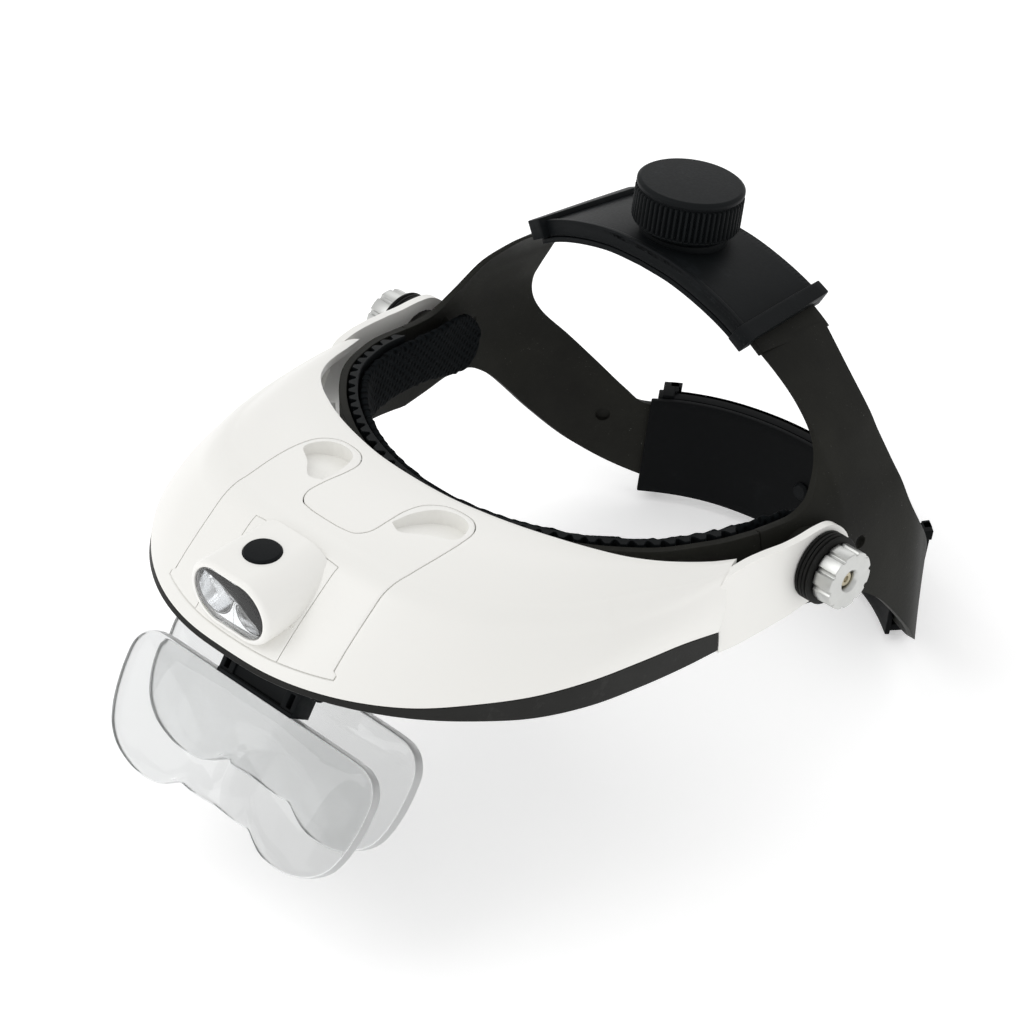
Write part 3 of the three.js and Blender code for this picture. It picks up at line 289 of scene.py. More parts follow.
# ---- finishes ----
class Socket:
    """A shader socket that arithmetic works on: an expression on sockets and numbers adds its Math nodes."""

    def __init__(self, tree, socket=None):
        self.tree = tree
        self.socket = socket

    def node(self, kind, settings=(), inputs=(), output=0):
        """A new node of a kind, with its settings made first and then its sockets filled or linked."""
        made = self.tree.nodes.new("ShaderNode" + kind)
        for key, value in dict(settings).items():
            if key == "stops":
                ramp = made.color_ramp.elements
                while len(ramp) < len(value):
                    ramp.new(0.5)
                for element, (place, level) in zip(ramp, value):
                    element.position = place
                    element.color = (level, level, level, 1)
            else:
                setattr(made, key, value)
        for key, value in dict(inputs).items():
            if isinstance(value, Socket):
                self.tree.links.new(value.socket, made.inputs[key])
            else:
                made.inputs[key].default_value = value
        return Socket(self.tree, made.outputs[output])

    def math(self, operation, a, b=0.0):
        return self.node("Math", {"operation": operation}, {0: a, 1: b})

    def __add__(self, other):
        return self.math("ADD", self, other)

    def __radd__(self, other):
        return self.math("ADD", other, self)

    def __sub__(self, other):
        return self.math("SUBTRACT", self, other)

    def __rsub__(self, other):
        return self.math("SUBTRACT", other, self)

    def __mul__(self, other):
        return self.math("MULTIPLY", self, other)

    def __rmul__(self, other):
        return self.math("MULTIPLY", other, self)

    def __pow__(self, other):
        return self.math("POWER", self, other)


class Finish:
    """One material: a Principled shader with a few texture helpers in object coordinates."""

    def __init__(self, name, **fixed):
        self.material = bpy.data.materials.new(name)
        self.material.use_nodes = True
        self.tree = self.material.node_tree
        self.shader = self.tree.nodes["Principled BSDF"]
        self.base = Socket(self.tree)
        self.where = self.base.node("TexCoord", output="Object")
        for key, value in fixed.items():
            self.shader.inputs[key.replace("_", " ")].default_value = value

    def noise(self, scale, detail=2.0, rough=0.5):
        return self.base.node("TexNoise", {}, {"Vector": self.where, "Scale": scale, "Detail": detail,
                                               "Roughness": rough}, "Fac")

    def band(self, value, low, high):
        """0 below low, 1 above high, straight between."""
        return self.base.node("MapRange", {"clamp": True}, {"Value": value, "From Min": low, "From Max": high})

    def mix(self, factor, a, b):
        return self.base.node("Mix", {"data_type": "RGBA"}, {0: factor, 6: (*a, 1) if isinstance(a, tuple) else a,
                                                             7: (*b, 1) if isinstance(b, tuple) else b}, 2)

    def bump(self, height, strength, distance):
        return self.base.node("Bump", {}, {"Height": height, "Strength": strength, "Distance": distance})

    def feed(self, **links):
        for key, value in links.items():
            self.tree.links.new(value.socket, self.shader.inputs[key.replace("_", " ")])
        return self.material


def white_plastic():
    """Satin off-white moulding: a slow warm drift in colour, fine grain in the gloss and a faint moulded texture."""
    f = Finish("satin_white", Coat_Weight=0.12, Coat_Roughness=0.25, Specular_IOR_Level=0.45)
    drift, grain = f.noise(14, 3), f.noise(900, 2)
    scuffs = f.band(f.noise(60, 6, 0.7), 0.62, 0.8)
    color = f.mix(drift, (0.83, 0.822, 0.79), (0.875, 0.868, 0.838))
    color = f.mix(scuffs * 0.08, color, (0.62, 0.6, 0.56))
    return f.feed(Base_Color=color, Roughness=0.34 + grain * 0.1 + scuffs * 0.05,
                  Normal=f.bump(grain + f.noise(160, 2) * 0.6, 0.06, 0.0002))


def band_plastic(name, dark, light, speck, tone=(0.12, 0.12, 0.11)):
    """Matte black moulding: fine grain, pale specks and a soft unevenness."""
    f = Finish(name, Specular_IOR_Level=0.12)
    drift, grain = f.noise(30, 4, 0.6), f.noise(1500, 3, 0.7)
    specks = f.band(f.noise(1900, 1, 0.4), 0.7, 0.8) * f.band(f.noise(170, 2), 0.5, 0.65)
    color = f.mix(f.band(drift, 0.35, 0.7), dark, light)
    color = f.mix(specks * speck, color, tone)
    return f.feed(Base_Color=color, Roughness=0.52 + grain * 0.16 - specks * 0.1,
                  Normal=f.bump(grain * 0.8 + f.noise(420, 2) * 0.5, 0.16, 0.0003))


def black_plastic(name, dark, light, rough):
    """Satin black moulding with a faint grain, and rubs a little paler."""
    f = Finish(name, Specular_IOR_Level=0.08)
    drift, grain = f.noise(45, 4, 0.6), f.noise(1300, 2)
    rubs = f.band(f.noise(110, 5, 0.7), 0.6, 0.75)
    color = f.mix(drift, dark, light)
    color = f.mix(rubs * 0.25, color, tuple(3 * c for c in light))
    return f.feed(Base_Color=color, Roughness=rough + grain * 0.14 - rubs * 0.06,
                  Normal=f.bump(grain, 0.1, 0.0002))


def foam():
    """Soft pad skin: rows of small dimples over a cloudy grain, with painted shade darkening each dimple's hollow."""
    f = Finish("dimpled_foam", Specular_IOR_Level=0.03)
    spread = f.base.node("Attribute", {"attribute_name": "pad_place"}, {}, "Vector")
    turned_grid = f.base.node("Mapping", {}, {"Vector": spread, "Rotation": (0, 0, math.pi / 4)})
    cell = f.base.node("TexVoronoi", {"voronoi_dimensions": "2D"},
                       {"Vector": turned_grid, "Scale": 440.0, "Randomness": 0.1},
                       "Distance")
    dimple = f.band(cell, 0.12, 0.42)
    grain = f.noise(900, 3)
    # painted shade: the colour darkens towards each dimple's centre, where the hollow would lie in shadow
    color = f.mix(dimple, (0.0006, 0.0008, 0.0009), (0.0045, 0.0058, 0.0066))
    return f.feed(Base_Color=f.mix(f.noise(40, 3) * 0.3, color, (0.007, 0.008, 0.009)), Roughness=0.72 + grain * 0.2,
                  Normal=f.bump(dimple + grain * 0.2, 0.7, 0.0008))


def metal(name, low, high, rough, streak):
    """Turned or brushed metal: fine streaks across the gloss, faint smudges and a soft colour shift."""
    f = Finish(name, Metallic=1.0)
    wide = f.base.node("Mapping", {}, {"Vector": f.where, "Scale": streak})
    lines = f.base.node("TexNoise", {}, {"Vector": wide, "Scale": 900, "Detail": 2}, "Fac")
    smudge = f.noise(130, 4, 0.6)
    return f.feed(Base_Color=f.mix(smudge, low, high), Roughness=rough + lines * 0.16 + smudge * 0.08,
                  Normal=f.bump(lines, 0.08, 0.0001))


def acrylic(name="clear_acrylic", tint=0.8, rough=0.012, clear=1.0):
    """Clear acrylic, lightly tinted, with a trace of haze."""
    f = Finish(name, Transmission_Weight=clear, IOR=1.49, Specular_IOR_Level=0.6)
    haze = f.band(f.noise(70, 5, 0.65), 0.55, 0.8)
    return f.feed(Base_Color=f.mix(haze, (tint, tint * 1.01, tint * 1.01), (tint * 0.96, tint * 0.97, tint * 0.97)),
                  Roughness=rough + haze * 0.05,
                  Normal=f.bump(f.noise(40, 2), 0.02, 0.0004))


def glossy(name, low, high, rough, bump_scale, **fixed):
    """Printed, painted or glossy surface with a fine mottle."""
    f = Finish(name, **fixed)
    mottle, fine = f.noise(bump_scale, 3), f.noise(bump_scale * 8, 2)
    return f.feed(Base_Color=f.mix(f.band(mottle, 0.4, 0.6), low, high), Roughness=rough + fine * 0.12,
                  Normal=f.bump(fine, 0.08, 0.0002))


WHITE = white_plastic()
BAND = band_plastic("matte_band", (0.008, 0.008, 0.0065), (0.0145, 0.0145, 0.0115), 0.5)
BLACK = black_plastic("satin_black", (0.003, 0.0036, 0.004), (0.008, 0.0095, 0.0105), 0.4)
NAPE = black_plastic("blue_black", (0.0015, 0.0019, 0.0022), (0.0032, 0.0038, 0.0044), 0.5)
RUBBER = black_plastic("ring_rubber", (0.008, 0.008, 0.008), (0.015, 0.015, 0.014), 0.45)
TRIM = black_plastic("trim_black", (0.016, 0.016, 0.015), (0.028, 0.028, 0.027), 0.46)
FOAM = foam()
ALUMINIUM = metal("turned_aluminium", (0.47, 0.475, 0.46), (0.62, 0.625, 0.61), 0.22, (1, 9, 9))
STEEL = metal("bright_steel", (0.58, 0.59, 0.6), (0.72, 0.73, 0.74), 0.24, (6, 1, 1))
BRASS = metal("brass_screw", (0.36, 0.32, 0.22), (0.55, 0.5, 0.38), 0.24, (1, 8, 8))
CHROME = metal("mirror_chrome", (0.86, 0.87, 0.88), (0.94, 0.94, 0.95), 0.03, (1, 1, 1))
CLEAR = acrylic(tint=0.76)
WINDOW = acrylic("lamp_clear", 0.98, 0.01)
# rim finish: rougher and less clear than the plate, and paler; the paleness is painted light standing for the
# brightness the plate's edges catch
RIM = acrylic("frosted_rim_painted_light", 0.95, 0.3, 0.55)
LED = glossy("led_yellow", (0.82, 0.68, 0.22), (0.95, 0.85, 0.45), 0.15, 900, Coat_Weight=1.0, Coat_Roughness=0.05)
BOARD = glossy("printed_board", (0.02, 0.12, 0.05), (0.04, 0.2, 0.09), 0.3, 500)
CELL = glossy("cell_wrap", (0.04, 0.11, 0.22), (0.07, 0.16, 0.3), 0.25, 90, Coat_Weight=0.5)
CONTACT = metal("contact_steel", (0.5, 0.51, 0.52), (0.68, 0.69, 0.7), 0.3, (1, 6, 1))

# ---- headband surface ----
PLAN = [(0, -74.9), (15.7, -73.3), (30.7, -68.8), (42.4, -62.5), (52, -55), (61, -44.6), (66.3, -32), (70.3, -17.3),
        (73.3, -3.1), (76.3, 10), (77.8, 22), (78, 34), (76.6, 46), (71.6, 55.7), (64.8, 64), (56.2, 72),
        (46.2, 79.7), (33.5, 86.1), (17.4, 90.3), (0, 91.6)]
PLAN_LOOP = PLAN + [(-x, y) for x, y in PLAN[-2:0:-1]]
front_arch = table([(-60, 1), (-2, 0.994), (6, 0.974), (13, 0.94), (17, 0.908), (24, 0.85), (31, 0.768), (40, 0.638),
                    (47, 0.505), (52, 0.385)])
rear_arch = table([(-60, 1), (-16, 1), (-5, 0.975), (3, 0.94), (8, 0.9), (17, 0.825), (22, 0.785), (33, 0.655),
                   (44, 0.51), (50, 0.4)])
crown_front = table([(0, 58), (12, 57.2), (24, 54.3), (33, 50.8), (39.2, 47.2), (46, 42.6), (50, 39.6)])
crown_rear = table([(0, 52.6), (12, 51.8), (24, 49.1), (33, 45.8), (40, 42), (46, 37.4), (50, 33.5)])


def band_points(u, z, offset):
    """Points of the band: the plan curve at u moved out by the offset, narrowed over the ears and towards the
    crown by the arch tables at height z, and leaned back at the nape in proportion to the height."""
    p = spline(PLAN_LOOP, u % 1, closed=True)
    d = unit(spline(PLAN_LOOP, (u + 1e-4) % 1, closed=True) - spline(PLAN_LOOP, (u - 1e-4) % 1, closed=True))
    x, y = p[:, 0] + d[:, 1] * offset, p[:, 1] - d[:, 0] * offset
    k = np.clip((y - 15) / 28, 0, 1)
    arch = (1 - k) * front_arch(z) + k * rear_arch(z)
    lean = NAPE_LEAN * (z - NAPE_Z) * eased(52, 78, y)
    return np.stack([x * (1 + eased(-30, 8, y) * (arch - 1)), y + lean, z], 1)


def band_grid(us, zs, offset):
    """Grid of band points; zs is one row of heights or a grid of them."""
    uu = np.repeat(us[:, None], zs.shape[-1], axis=1)
    zz = np.broadcast_to(zs, uu.shape)
    off = np.broadcast_to(offset, uu.shape)
    return band_points(uu.ravel(), zz.ravel(), off.ravel()).reshape(*uu.shape, 3)


def crown_grid(x0, x1, y0, y1, offset, steps=60, across=10, taper=0.0):
    """Grid over the crown at a distance from the strap's middle surface, narrowing backwards by the taper."""
    x, y = np.meshgrid(np.linspace(x0, x1, steps), np.linspace(y0, y1, across), indexing="ij")
    x = x * (1 - taper * (y - STRAP_Y0) / (STRAP_Y1 - STRAP_Y0))
    a, b = crown_front(abs(x)), crown_rear(abs(x))
    grid = np.stack([x, y, a + (b - a) * (y - 15) / 28], 2)
    n = normals_of(grid)
    return grid + np.where(n[..., 2:] < 0, -n, n) * offset


plate_top = line([(SPLIT_Y, 13.2), (-8, 12.2), (-1, 11.7), (5, 13.6), (9.5, 17.5), (13.2, 22.5), (15.6, 28),
                  (16.4, 34),
                  (16, 40), (15.4, 45), (15, 50)], 90)
plate_rear = line([(43.6, 50), (43, 44), (42, 36), (41.2, 28), (41, 20), (41.6, 12), (42.6, 4), (44.6, -5), (49, -14),
                   (57, -25), (65, -37), (71, -46.7), (74.6, -51.9), (79, -53.1), (88, -53), (105, -53)], 110)
plate_low = line([(105, -79.1), (88, -79.2), (76, -79), (68, -75), (58, -66), (46, -51), (37, -39), (31, -31.5),
                  (26, -26.5), (20, -22), (12, -19.3), (0, -17.4), (SPLIT_Y, -15.6)], 100)
plate_view = np.vstack([plate_top, plate_rear, plate_low])


def plan_share(y):
    """Curve parameter where the right side of the plan reaches y."""
    u = np.linspace(0, 0.5, 4000)
    return np.interp(y, spline(PLAN_LOOP, u, closed=True)[:, 1], u)


def mirror_points(obj):
    """The mesh reflected left to right, faces turned outwards again."""
    mesh = obj.data
    co = np.empty(len(mesh.vertices) * 3)
    mesh.vertices.foreach_get("co", co)
    co[::3] *= -1
    mesh.vertices.foreach_set("co", co)
    mesh.flip_normals()
    return obj


def side_plate(tag, side):
    """One side of the headband with its crown strap and nape arm, cut from the band surface by its side view."""
    us = np.linspace(0.02, 0.5, 240)
    zs = np.linspace(-92, 50.5, 90)
    wall = slab("wall", band_grid(us, zs, BAND_T / 2), band_grid(us, zs, -BAND_T / 2))
    view = prism("view", plate_view, 18, 100, "x")
    combined(wall, view, "INTERSECT")
    combined(wall, block("crown_cut", 0, 42.4, 0, 60, 20, 60), "DIFFERENCE")
    combined(wall, block("top_cut", 0, 100, -30, 110, 47.5, 60), "DIFFERENCE")
    crown = slab("crown", crown_grid(18, 43, STRAP_Y0, STRAP_Y1, BAND_T / 2, 40),
                 crown_grid(18, 43, STRAP_Y0, STRAP_Y1,
                                                                                   -BAND_T / 2, 40))
    middle, outer = (band_points(np.array([plan_share(KEYHOLE_Y)]), np.array([float(KEYHOLE_Z)]),
                                 np.array([d]))[0] for d in (0.0, 1.0))
    outward = unit(outer - middle)
    along = unit(np.cross((0, 0, 1), outward))
    for r, depth, axes, place in ((2, 12, X_AXES, (76, 20.4, -4.8)), (2.7, 12, X_AXES, (76, 0, 0)),
                                  (KEYHOLE_R, 0, (along, np.cross(outward, along), outward), middle)):
        drill = turned("drill", [(0, -12), (r, -12), (r, depth), (0, depth)], axes, place, 40)
        combined(wall, drill, "DIFFERENCE")
    boss = turned("boss", rounded([(2.7, 72.4), (8.4, 72.4), (8.4, 75.9), (2.7, 75.9)], 0.4), X_AXES, (0, 0, 0), 64)
    obj = joined("band_plate_" + tag, [wall, crown, boss], 30)
    obj = beveled(obj, 0.35, 2, 60, 30)
    return obj if side > 0 else mirror_points(obj)


for side, tag in ((1, "left"), (-1, "right")):
    dressed(side_plate(tag, side), "headband", BAND, "band", "side_plate_" + tag)

# ---- brow band, toothed liner and pad ----
brow_top = [(SPLIT_Y, 13.2), (-24, 15.4), (-34, 17.4), (-44, 19), (-55, 20.4), (-65, 21.4), (-79, 22)]
brow_low = [(-79, 1), (-64, -1), (-50, -3.6), (-38, -6.8), (-28, -10.4), (-20, -13.4), (SPLIT_Y, -15.6)]
top_at = table(brow_top[::-1] + [(-5, 11.6), (2, 10.2), (19, 3.4), (30, 0)])
band_low_at = table(brow_low + [(0, -17.4), (30, -19)])
low_at = table([(-79, 4), (-50, 1.6), (-36, -0.6), (-22.7, -3.6), (-8.6, -8), (2, -13), (15.7, -17.4), (30, -20)])


def brow_strip(name, inner, outer, y_end, top, low, columns, rows=8, notch=None):
    """Strip of the band from ear to ear between two heights and two offsets; notch moves the outer face in by
    column."""
    end = plan_share(y_end)
    us = np.linspace(-end, end, columns)
    y = spline(PLAN_LOOP, us % 1, closed=True)[:, 1]
    k = np.linspace(0, 1, rows)[None, :]
    zs = low(y)[:, None] * (1 - k) + top(y)[:, None] * k
    out = outer - (notch(us) if notch else 0 * us)
    return slab(name, band_grid(us, zs, out[:, None]), band_grid(us, zs, inner))


front_band = brow_strip("brow_band", -BAND_T / 2, BAND_T / 2, SPLIT_Y - 0.06, top_at, band_low_at, 260)
dressed(beveled(front_band, 0.12, 1, 50, 30), "headband", BAND, "band", "front_band")

LINER_OUT = -BAND_T / 2 - 0.6
LINER_IN = LINER_OUT - 2.6
TOOTH_COUNT = 40
LINER_END = -19


def tooth_notch(us):
    """Depth of the notches between the liner's teeth: a clipped triangle wave along the strip."""
    end = plan_share(LINER_END)
    wave = abs(((us + end) / (2 * end) * TOOTH_COUNT) % 1 * 2 - 1)
    return 1.8 * np.clip(wave * 2.2 - 0.75, 0, 1)


liner = brow_strip("liner_teeth", LINER_IN, LINER_OUT, LINER_END, lambda y: top_at(y) + 0.4, lambda y: low_at(y) + 1,
                   TOOTH_COUNT * 12 + 1, 3,
                   tooth_notch)
dressed(beveled(liner, 0.12, 1, 60, 25), "headband", BLACK, "black", "brow_liner")


def soft_pad():
    """The brow pad: a strip a little smaller than its place, remeshed and swollen by cloth pressure, its
    movement capped."""
    pad_out = LINER_IN - GAP
    pad = brow_strip("comfort_pad", pad_out - 2.6, pad_out - 0.25, 18.2, lambda y: top_at(y) - 0.9,
                     lambda y: low_at(y) + 0.5,
                     220, 12)
    start = fitted_ends(pad)
    mod = start.modifiers.new("voxels", "REMESH")
    mod.mode = "VOXEL"
    mod.voxel_size = 0.0012
    settled(start, 60)
    before = coordinates(start)
    cloth = start.modifiers.new("swell", "CLOTH")
    cloth.settings.use_pressure = True
    cloth.settings.uniform_pressure_force = 4
    cloth.settings.effector_weights.gravity = 0
    cloth.settings.tension_stiffness = 40
    cloth.settings.compression_stiffness = 40
    for step in range(1, 13):
        scene.frame_set(step)
    deps = bpy.context.evaluated_depsgraph_get()
    swollen = np.empty(len(before) * 3)
    start.evaluated_get(deps).to_mesh().vertices.foreach_get("co", swollen)
    start.modifiers.clear()
    scene.frame_set(1)
    move = swollen.reshape(-1, 3) - before
    far = np.linalg.norm(move, axis=1, keepdims=True)
    start.data.vertices.foreach_set("co", (before + move * np.minimum(1, 0.0005 / np.maximum(far, 1e-9))).ravel())
    sub = start.modifiers.new("finer", "SUBSURF")
    sub.levels = sub.render_levels = 1
    return settled(start, 80)


def coordinates(obj):
    co = np.empty(len(obj.data.vertices) * 3)
    obj.data.vertices.foreach_get("co", co)
    return co.reshape(-1, 3)


def fitted_ends(obj):
    """The pad's two ends drawn in to round tips: its height shrinks as a half circle over the last 9 mm."""
    co = coordinates(obj) * 1000
    y = co[:, 1]
    k = np.clip((y - 9.5) / 9.5, 0, 0.995)
    middle = (top_at(y) + low_at(y)) / 2
    co[:, 2] = middle + (co[:, 2] - middle) * np.sqrt(1 - k * k)
    obj.data.vertices.foreach_set("co", (co / 1000).ravel())
    return obj


def laid_out(obj):
    """Each point's place on the pad kept with it: the length along the plan curve and the height, in metres."""
    co = coordinates(obj)
    plan = spline(PLAN_LOOP, np.linspace(-0.5, 0.5, 2001) % 1, closed=True) / 1000
    along = np.concatenate([[0], np.cumsum(np.linalg.norm(np.diff(plan, axis=0), axis=1))])
    order = np.argsort(turn := np.arctan2(plan[:, 0], 0.02 - plan[:, 1]))
    s = np.interp(np.arctan2(co[:, 0], 0.02 - co[:, 1]), turn[order], along[order])
    kept = obj.data.attributes.new("pad_place", "FLOAT_VECTOR", "POINT")
    kept.data.foreach_set("vector", np.stack([s, co[:, 2], 0 * s], 1).ravel())
    return obj


pad = dressed(laid_out(soft_pad()), "headband", FOAM, "pad", "brow_pad")

# ---- crown sleeve and its knob ----
SLEEVE_X, TAPER = 39.8, 0.07


def crown_bar(name, x0, x1, y0, y1, low, high, across=6, steps=60):
    """A bar that follows the crown strap between two offsets."""
    return slab(name, crown_grid(x0, x1, y0, y1, high, steps, across, TAPER),
                crown_grid(x0, x1, y0, y1, low, steps, across,
                                                                                   TAPER))


def crown_sleeve():
    """Top, two side walls, a lip round each end and a thin raised rail along the front edge."""
    bars = [crown_bar("top", -SLEEVE_X, SLEEVE_X, STRAP_Y0 - 3, STRAP_Y1 + 3, SLOT, SLEEVE, 12),
            crown_bar("front", -SLEEVE_X, SLEEVE_X, STRAP_Y0 - 3, STRAP_Y0 - 0.6, -SLOT + 0.3, SLEEVE, 4),
            crown_bar("rear", -SLEEVE_X, SLEEVE_X, STRAP_Y1 + 0.6, STRAP_Y1 + 3, -SLOT + 0.3, SLEEVE, 4),
            crown_bar("rail", -SLEEVE_X + 3, SLEEVE_X - 3, STRAP_Y0 - 3, STRAP_Y0 - 1.4, SLEEVE - 0.5, SLEEVE + 0.45,
                      4)]
    for s in (1, -1):
        x0, x1 = s * (SLEEVE_X - 4.2), s * SLEEVE_X
        bars += [crown_bar("lip", x0, x1, STRAP_Y0 - 5.4, STRAP_Y1 + 4.6, SLOT + 0.2, SLEEVE + 1.6, 14, 6),
                 crown_bar("lip_front", x0, x1, STRAP_Y0 - 5.4, STRAP_Y0 - 0.6, -SLOT + 0.3, SLEEVE + 1.5, 4, 6),
                 crown_bar("lip_rear", x0, x1, STRAP_Y1 + 0.6, STRAP_Y1 + 4.6, -SLOT + 0.3, SLEEVE + 1.5, 4, 6)]
    return bars


def knob_frame(middle, up):
    """Axes and seat of a knob: the seat is the sleeve's outer face on the knob's own line."""
    up = unit(np.asarray(up, float))
    x = np.array([1.0, 0, 0])
    return (x, np.cross(up, x), up), np.asarray(middle, float) + up * SLEEVE


crown_z = crown_front(0.0) + (crown_rear(0.0) - crown_front(0.0)) * (CROWN_MID - 15) / 28
crown_axes, crown_seat = knob_frame((0, CROWN_MID, crown_z), (0, 0.176, 0.985))
nape_middle = band_points(np.array([0.5]), np.array([NAPE_Z]), np.array([0.0]))[0]
nape_axes, nape_seat = knob_frame(nape_middle, (0, 1, -NAPE_LEAN))
SEAT_PROFILE = rounded([(0, -1.5), (12.6, -1.5), (12.6, 1.5), (4, 1.5), (3.6, 1.5), (3.6, -0.5), (0, -0.5)], 0.6)


def knob(name, axes, seat):
    """Ratchet knob: 60 rounded ribs between a plain foot ring and a smooth crown with a groove under it,
    slightly domed."""
    foot, top = KNOB_LIFT, KNOB_LIFT + KNOB_H
    profile = rounded([(0, foot), (KNOB_R - 1.2, foot), (KNOB_R - 0.35, foot + 0.9), (KNOB_R - 0.35, foot + 1.1),
                       (KNOB_R, foot + 1.6), (KNOB_R, top - 2.9), (KNOB_R - 0.9, top - 2.5),
                       (KNOB_R - 0.9, top - 2.1),
                       (KNOB_R - 0.1, top - 1.8), (KNOB_R - 0.15, top - 0.7), (KNOB_R - 1.1, top - 0.05), (0, top)],
                       0.28)

    def ribbed(a, r, h):
        inside = eased(foot + 1.0, foot + 1.5, h) * (1 - eased(top - 2.9, top - 2.6, h))
        return r - inside * 0.95 * (0.5 + 0.5 * np.cos(60 * a)) ** 1.5

    return turned(name, profile, axes, seat, 720, ribbed, 50)


seat_disc = turned("knob_seat", SEAT_PROFILE, crown_axes, crown_seat, 96)
dressed(beveled(joined("crown_slider", crown_sleeve() + [seat_disc], 30), 0.3, 2, 50, 30), "headband", BLACK, "black",
        "crown_sleeve")
crown_back = crown_bar("crown_backing", -SLEEVE_X + 0.6, SLEEVE_X - 0.6, STRAP_Y0 - 3, STRAP_Y1 + 3, -SLEEVE, -SLOT,
                       10)
dressed(beveled(crown_back, 0.3, 2, 50, 30), "headband", BLACK, "black", "crown_sleeve_base")
dressed(knob("crown_dial", crown_axes, crown_seat), "crown_wheel", BLACK, "black", "crown_knob")

# ---- nape sleeve and its knob ----
NAPE_X, NAPE_HALF, NAPE_FLARE = 52.5, 13.2, 2.4


def nape_bar(name, half_x, z0, z1, low, high, x_from=None, rows=8):
    """A bar that follows the nape strap between two heights and two offsets, out to a half length either side."""
    us = np.linspace(0.3, 0.7, 400)
    x = band_points(us, np.full(400, NAPE_Z), np.full(400, (low + high) / 2))[:, 0]
    if x_from is None:
        ends = np.interp([-half_x, half_x], x[::-1], us[::-1])
    else:
        ends = np.interp([x_from, half_x], x[::-1], us[::-1])
    uu = np.linspace(min(ends), max(ends), 110 if x_from is None else 8)
    zs = np.linspace(z0, z1, rows)
    return slab(name, band_grid(uu, zs, high), band_grid(uu, zs, low))


def nape_sleeve():
    """Outer wall, ledge above and below the strap, and a lip round each end."""
    low, high = NAPE_Z - NAPE_HALF - 2.8, NAPE_Z + NAPE_HALF + 2.8
    bars = [nape_bar("outer", NAPE_X - 2.6, low, high, SLOT, SLEEVE, rows=14),
            nape_bar("upper", NAPE_X, NAPE_Z + NAPE_HALF + 0.6, high, -SLOT + 0.3, SLEEVE, rows=4),
            nape_bar("lower", NAPE_X, low, NAPE_Z - NAPE_HALF - 0.6, -SLOT + 0.3, SLEEVE, rows=4)]
    for s in (1, -1):
        bars.append(nape_bar("web", s * (NAPE_X - 1.8), low - 0.8, high + 0.8, SLOT, SLEEVE + NAPE_FLARE + 0.9,
                             x_from=s * (NAPE_X - 3)))
        reach = dict(x_from=s * (NAPE_X - 3))
        bars += [nape_bar("lip", s * NAPE_X, low - 0.8, high + 0.8, SLOT + NAPE_FLARE, SLEEVE + NAPE_FLARE + 0.9,
                          **reach),
                 nape_bar("lip_up", s * NAPE_X, NAPE_Z + NAPE_HALF + 0.6, high + 0.8, -SLOT + 0.3,
                          SLEEVE + NAPE_FLARE + 0.8, rows=4, **reach),
                 nape_bar("lip_low", s * NAPE_X, low - 0.8, NAPE_Z - NAPE_HALF - 0.6, -SLOT + 0.3,
                          SLEEVE + NAPE_FLARE + 0.8, rows=4, **reach)]
    return bars


seat_disc = turned("knob_seat", SEAT_PROFILE, nape_axes, nape_seat, 96)
dressed(beveled(joined("nape_slider", nape_sleeve() + [seat_disc], 30), 0.3, 2, 50, 30), "headband", NAPE, "black",
        "nape_sleeve")
nape_back = nape_bar("nape_backing", NAPE_X - 0.6, NAPE_Z - NAPE_HALF - 2.8, NAPE_Z + NAPE_HALF + 2.8, -SLEEVE,
                     -SLOT, rows=14)
dressed(beveled(nape_back, 0.3, 2, 50, 30), "headband", NAPE, "black", "nape_sleeve_base")
dressed(knob("nape_dial", nape_axes, nape_seat), "nape_wheel", BLACK, "black", "nape_knob")

# ---- visor shell ----
STATIONS = np.array([
    [(0, -77.5, 29), (0, -120.5, 33), (0, -147.6, 9.5), (0, -148.5, 7.6)],
    [(13, -76.8, 28.8), (15, -119.8, 32.6), (15.1, -146.7, 9.3), (15.3, -147.6, 7.4)],
    [(24.5, -74.6, 28.4), (30, -117.4, 31.1), (28.7, -143, 8.9), (28.9, -143.9, 6.9)],
    [(35, -71.4, 27.7), (42.5, -112, 29.1), (41.2, -136.6, 8.4), (41.4, -137.4, 5.9)],
    [(44.5, -67, 26.4), (52.5, -104.8, 27), (52.3, -127.8, 8), (52.6, -128.5, 4.4)],
    [(52.8, -62, 24.7), (60, -95.3, 24.6), (62, -116.6, 8.2), (62.3, -117.2, 2.6)],
    [(59.6, -56.2, 22.5), (66, -83.6, 22), (70.2, -102.4, 7.4), (70.5, -102.7, -0.2)],
    [(64.8, -49.4, 20.1), (70.6, -71.2, 19.5), (75.2, -86, 5.9), (75.5, -86, -2.9)],
    [(68.6, -42, 17.6), (73.8, -58.6, 17.3), (77.2, -68.5, 3.4), (77.4, -68.5, -5.7)],
    [(71.6, -34.4, 15.2), (76, -47, 15.5), (77.8, -52.5, 0.4), (77.9, -52.5, -8.4)],
    [(74, -27.5, 13.6), (76.9, -34.5, 14.2), (77.7, -38.2, -3.8), (77.8, -38.2, -10.6)]], float)
ALL_STATIONS = np.concatenate([STATIONS[:0:-1] * (-1, 1, 1), STATIONS])


def station(k, u):
    return spline(ALL_STATIONS[:, k], u, even=True)


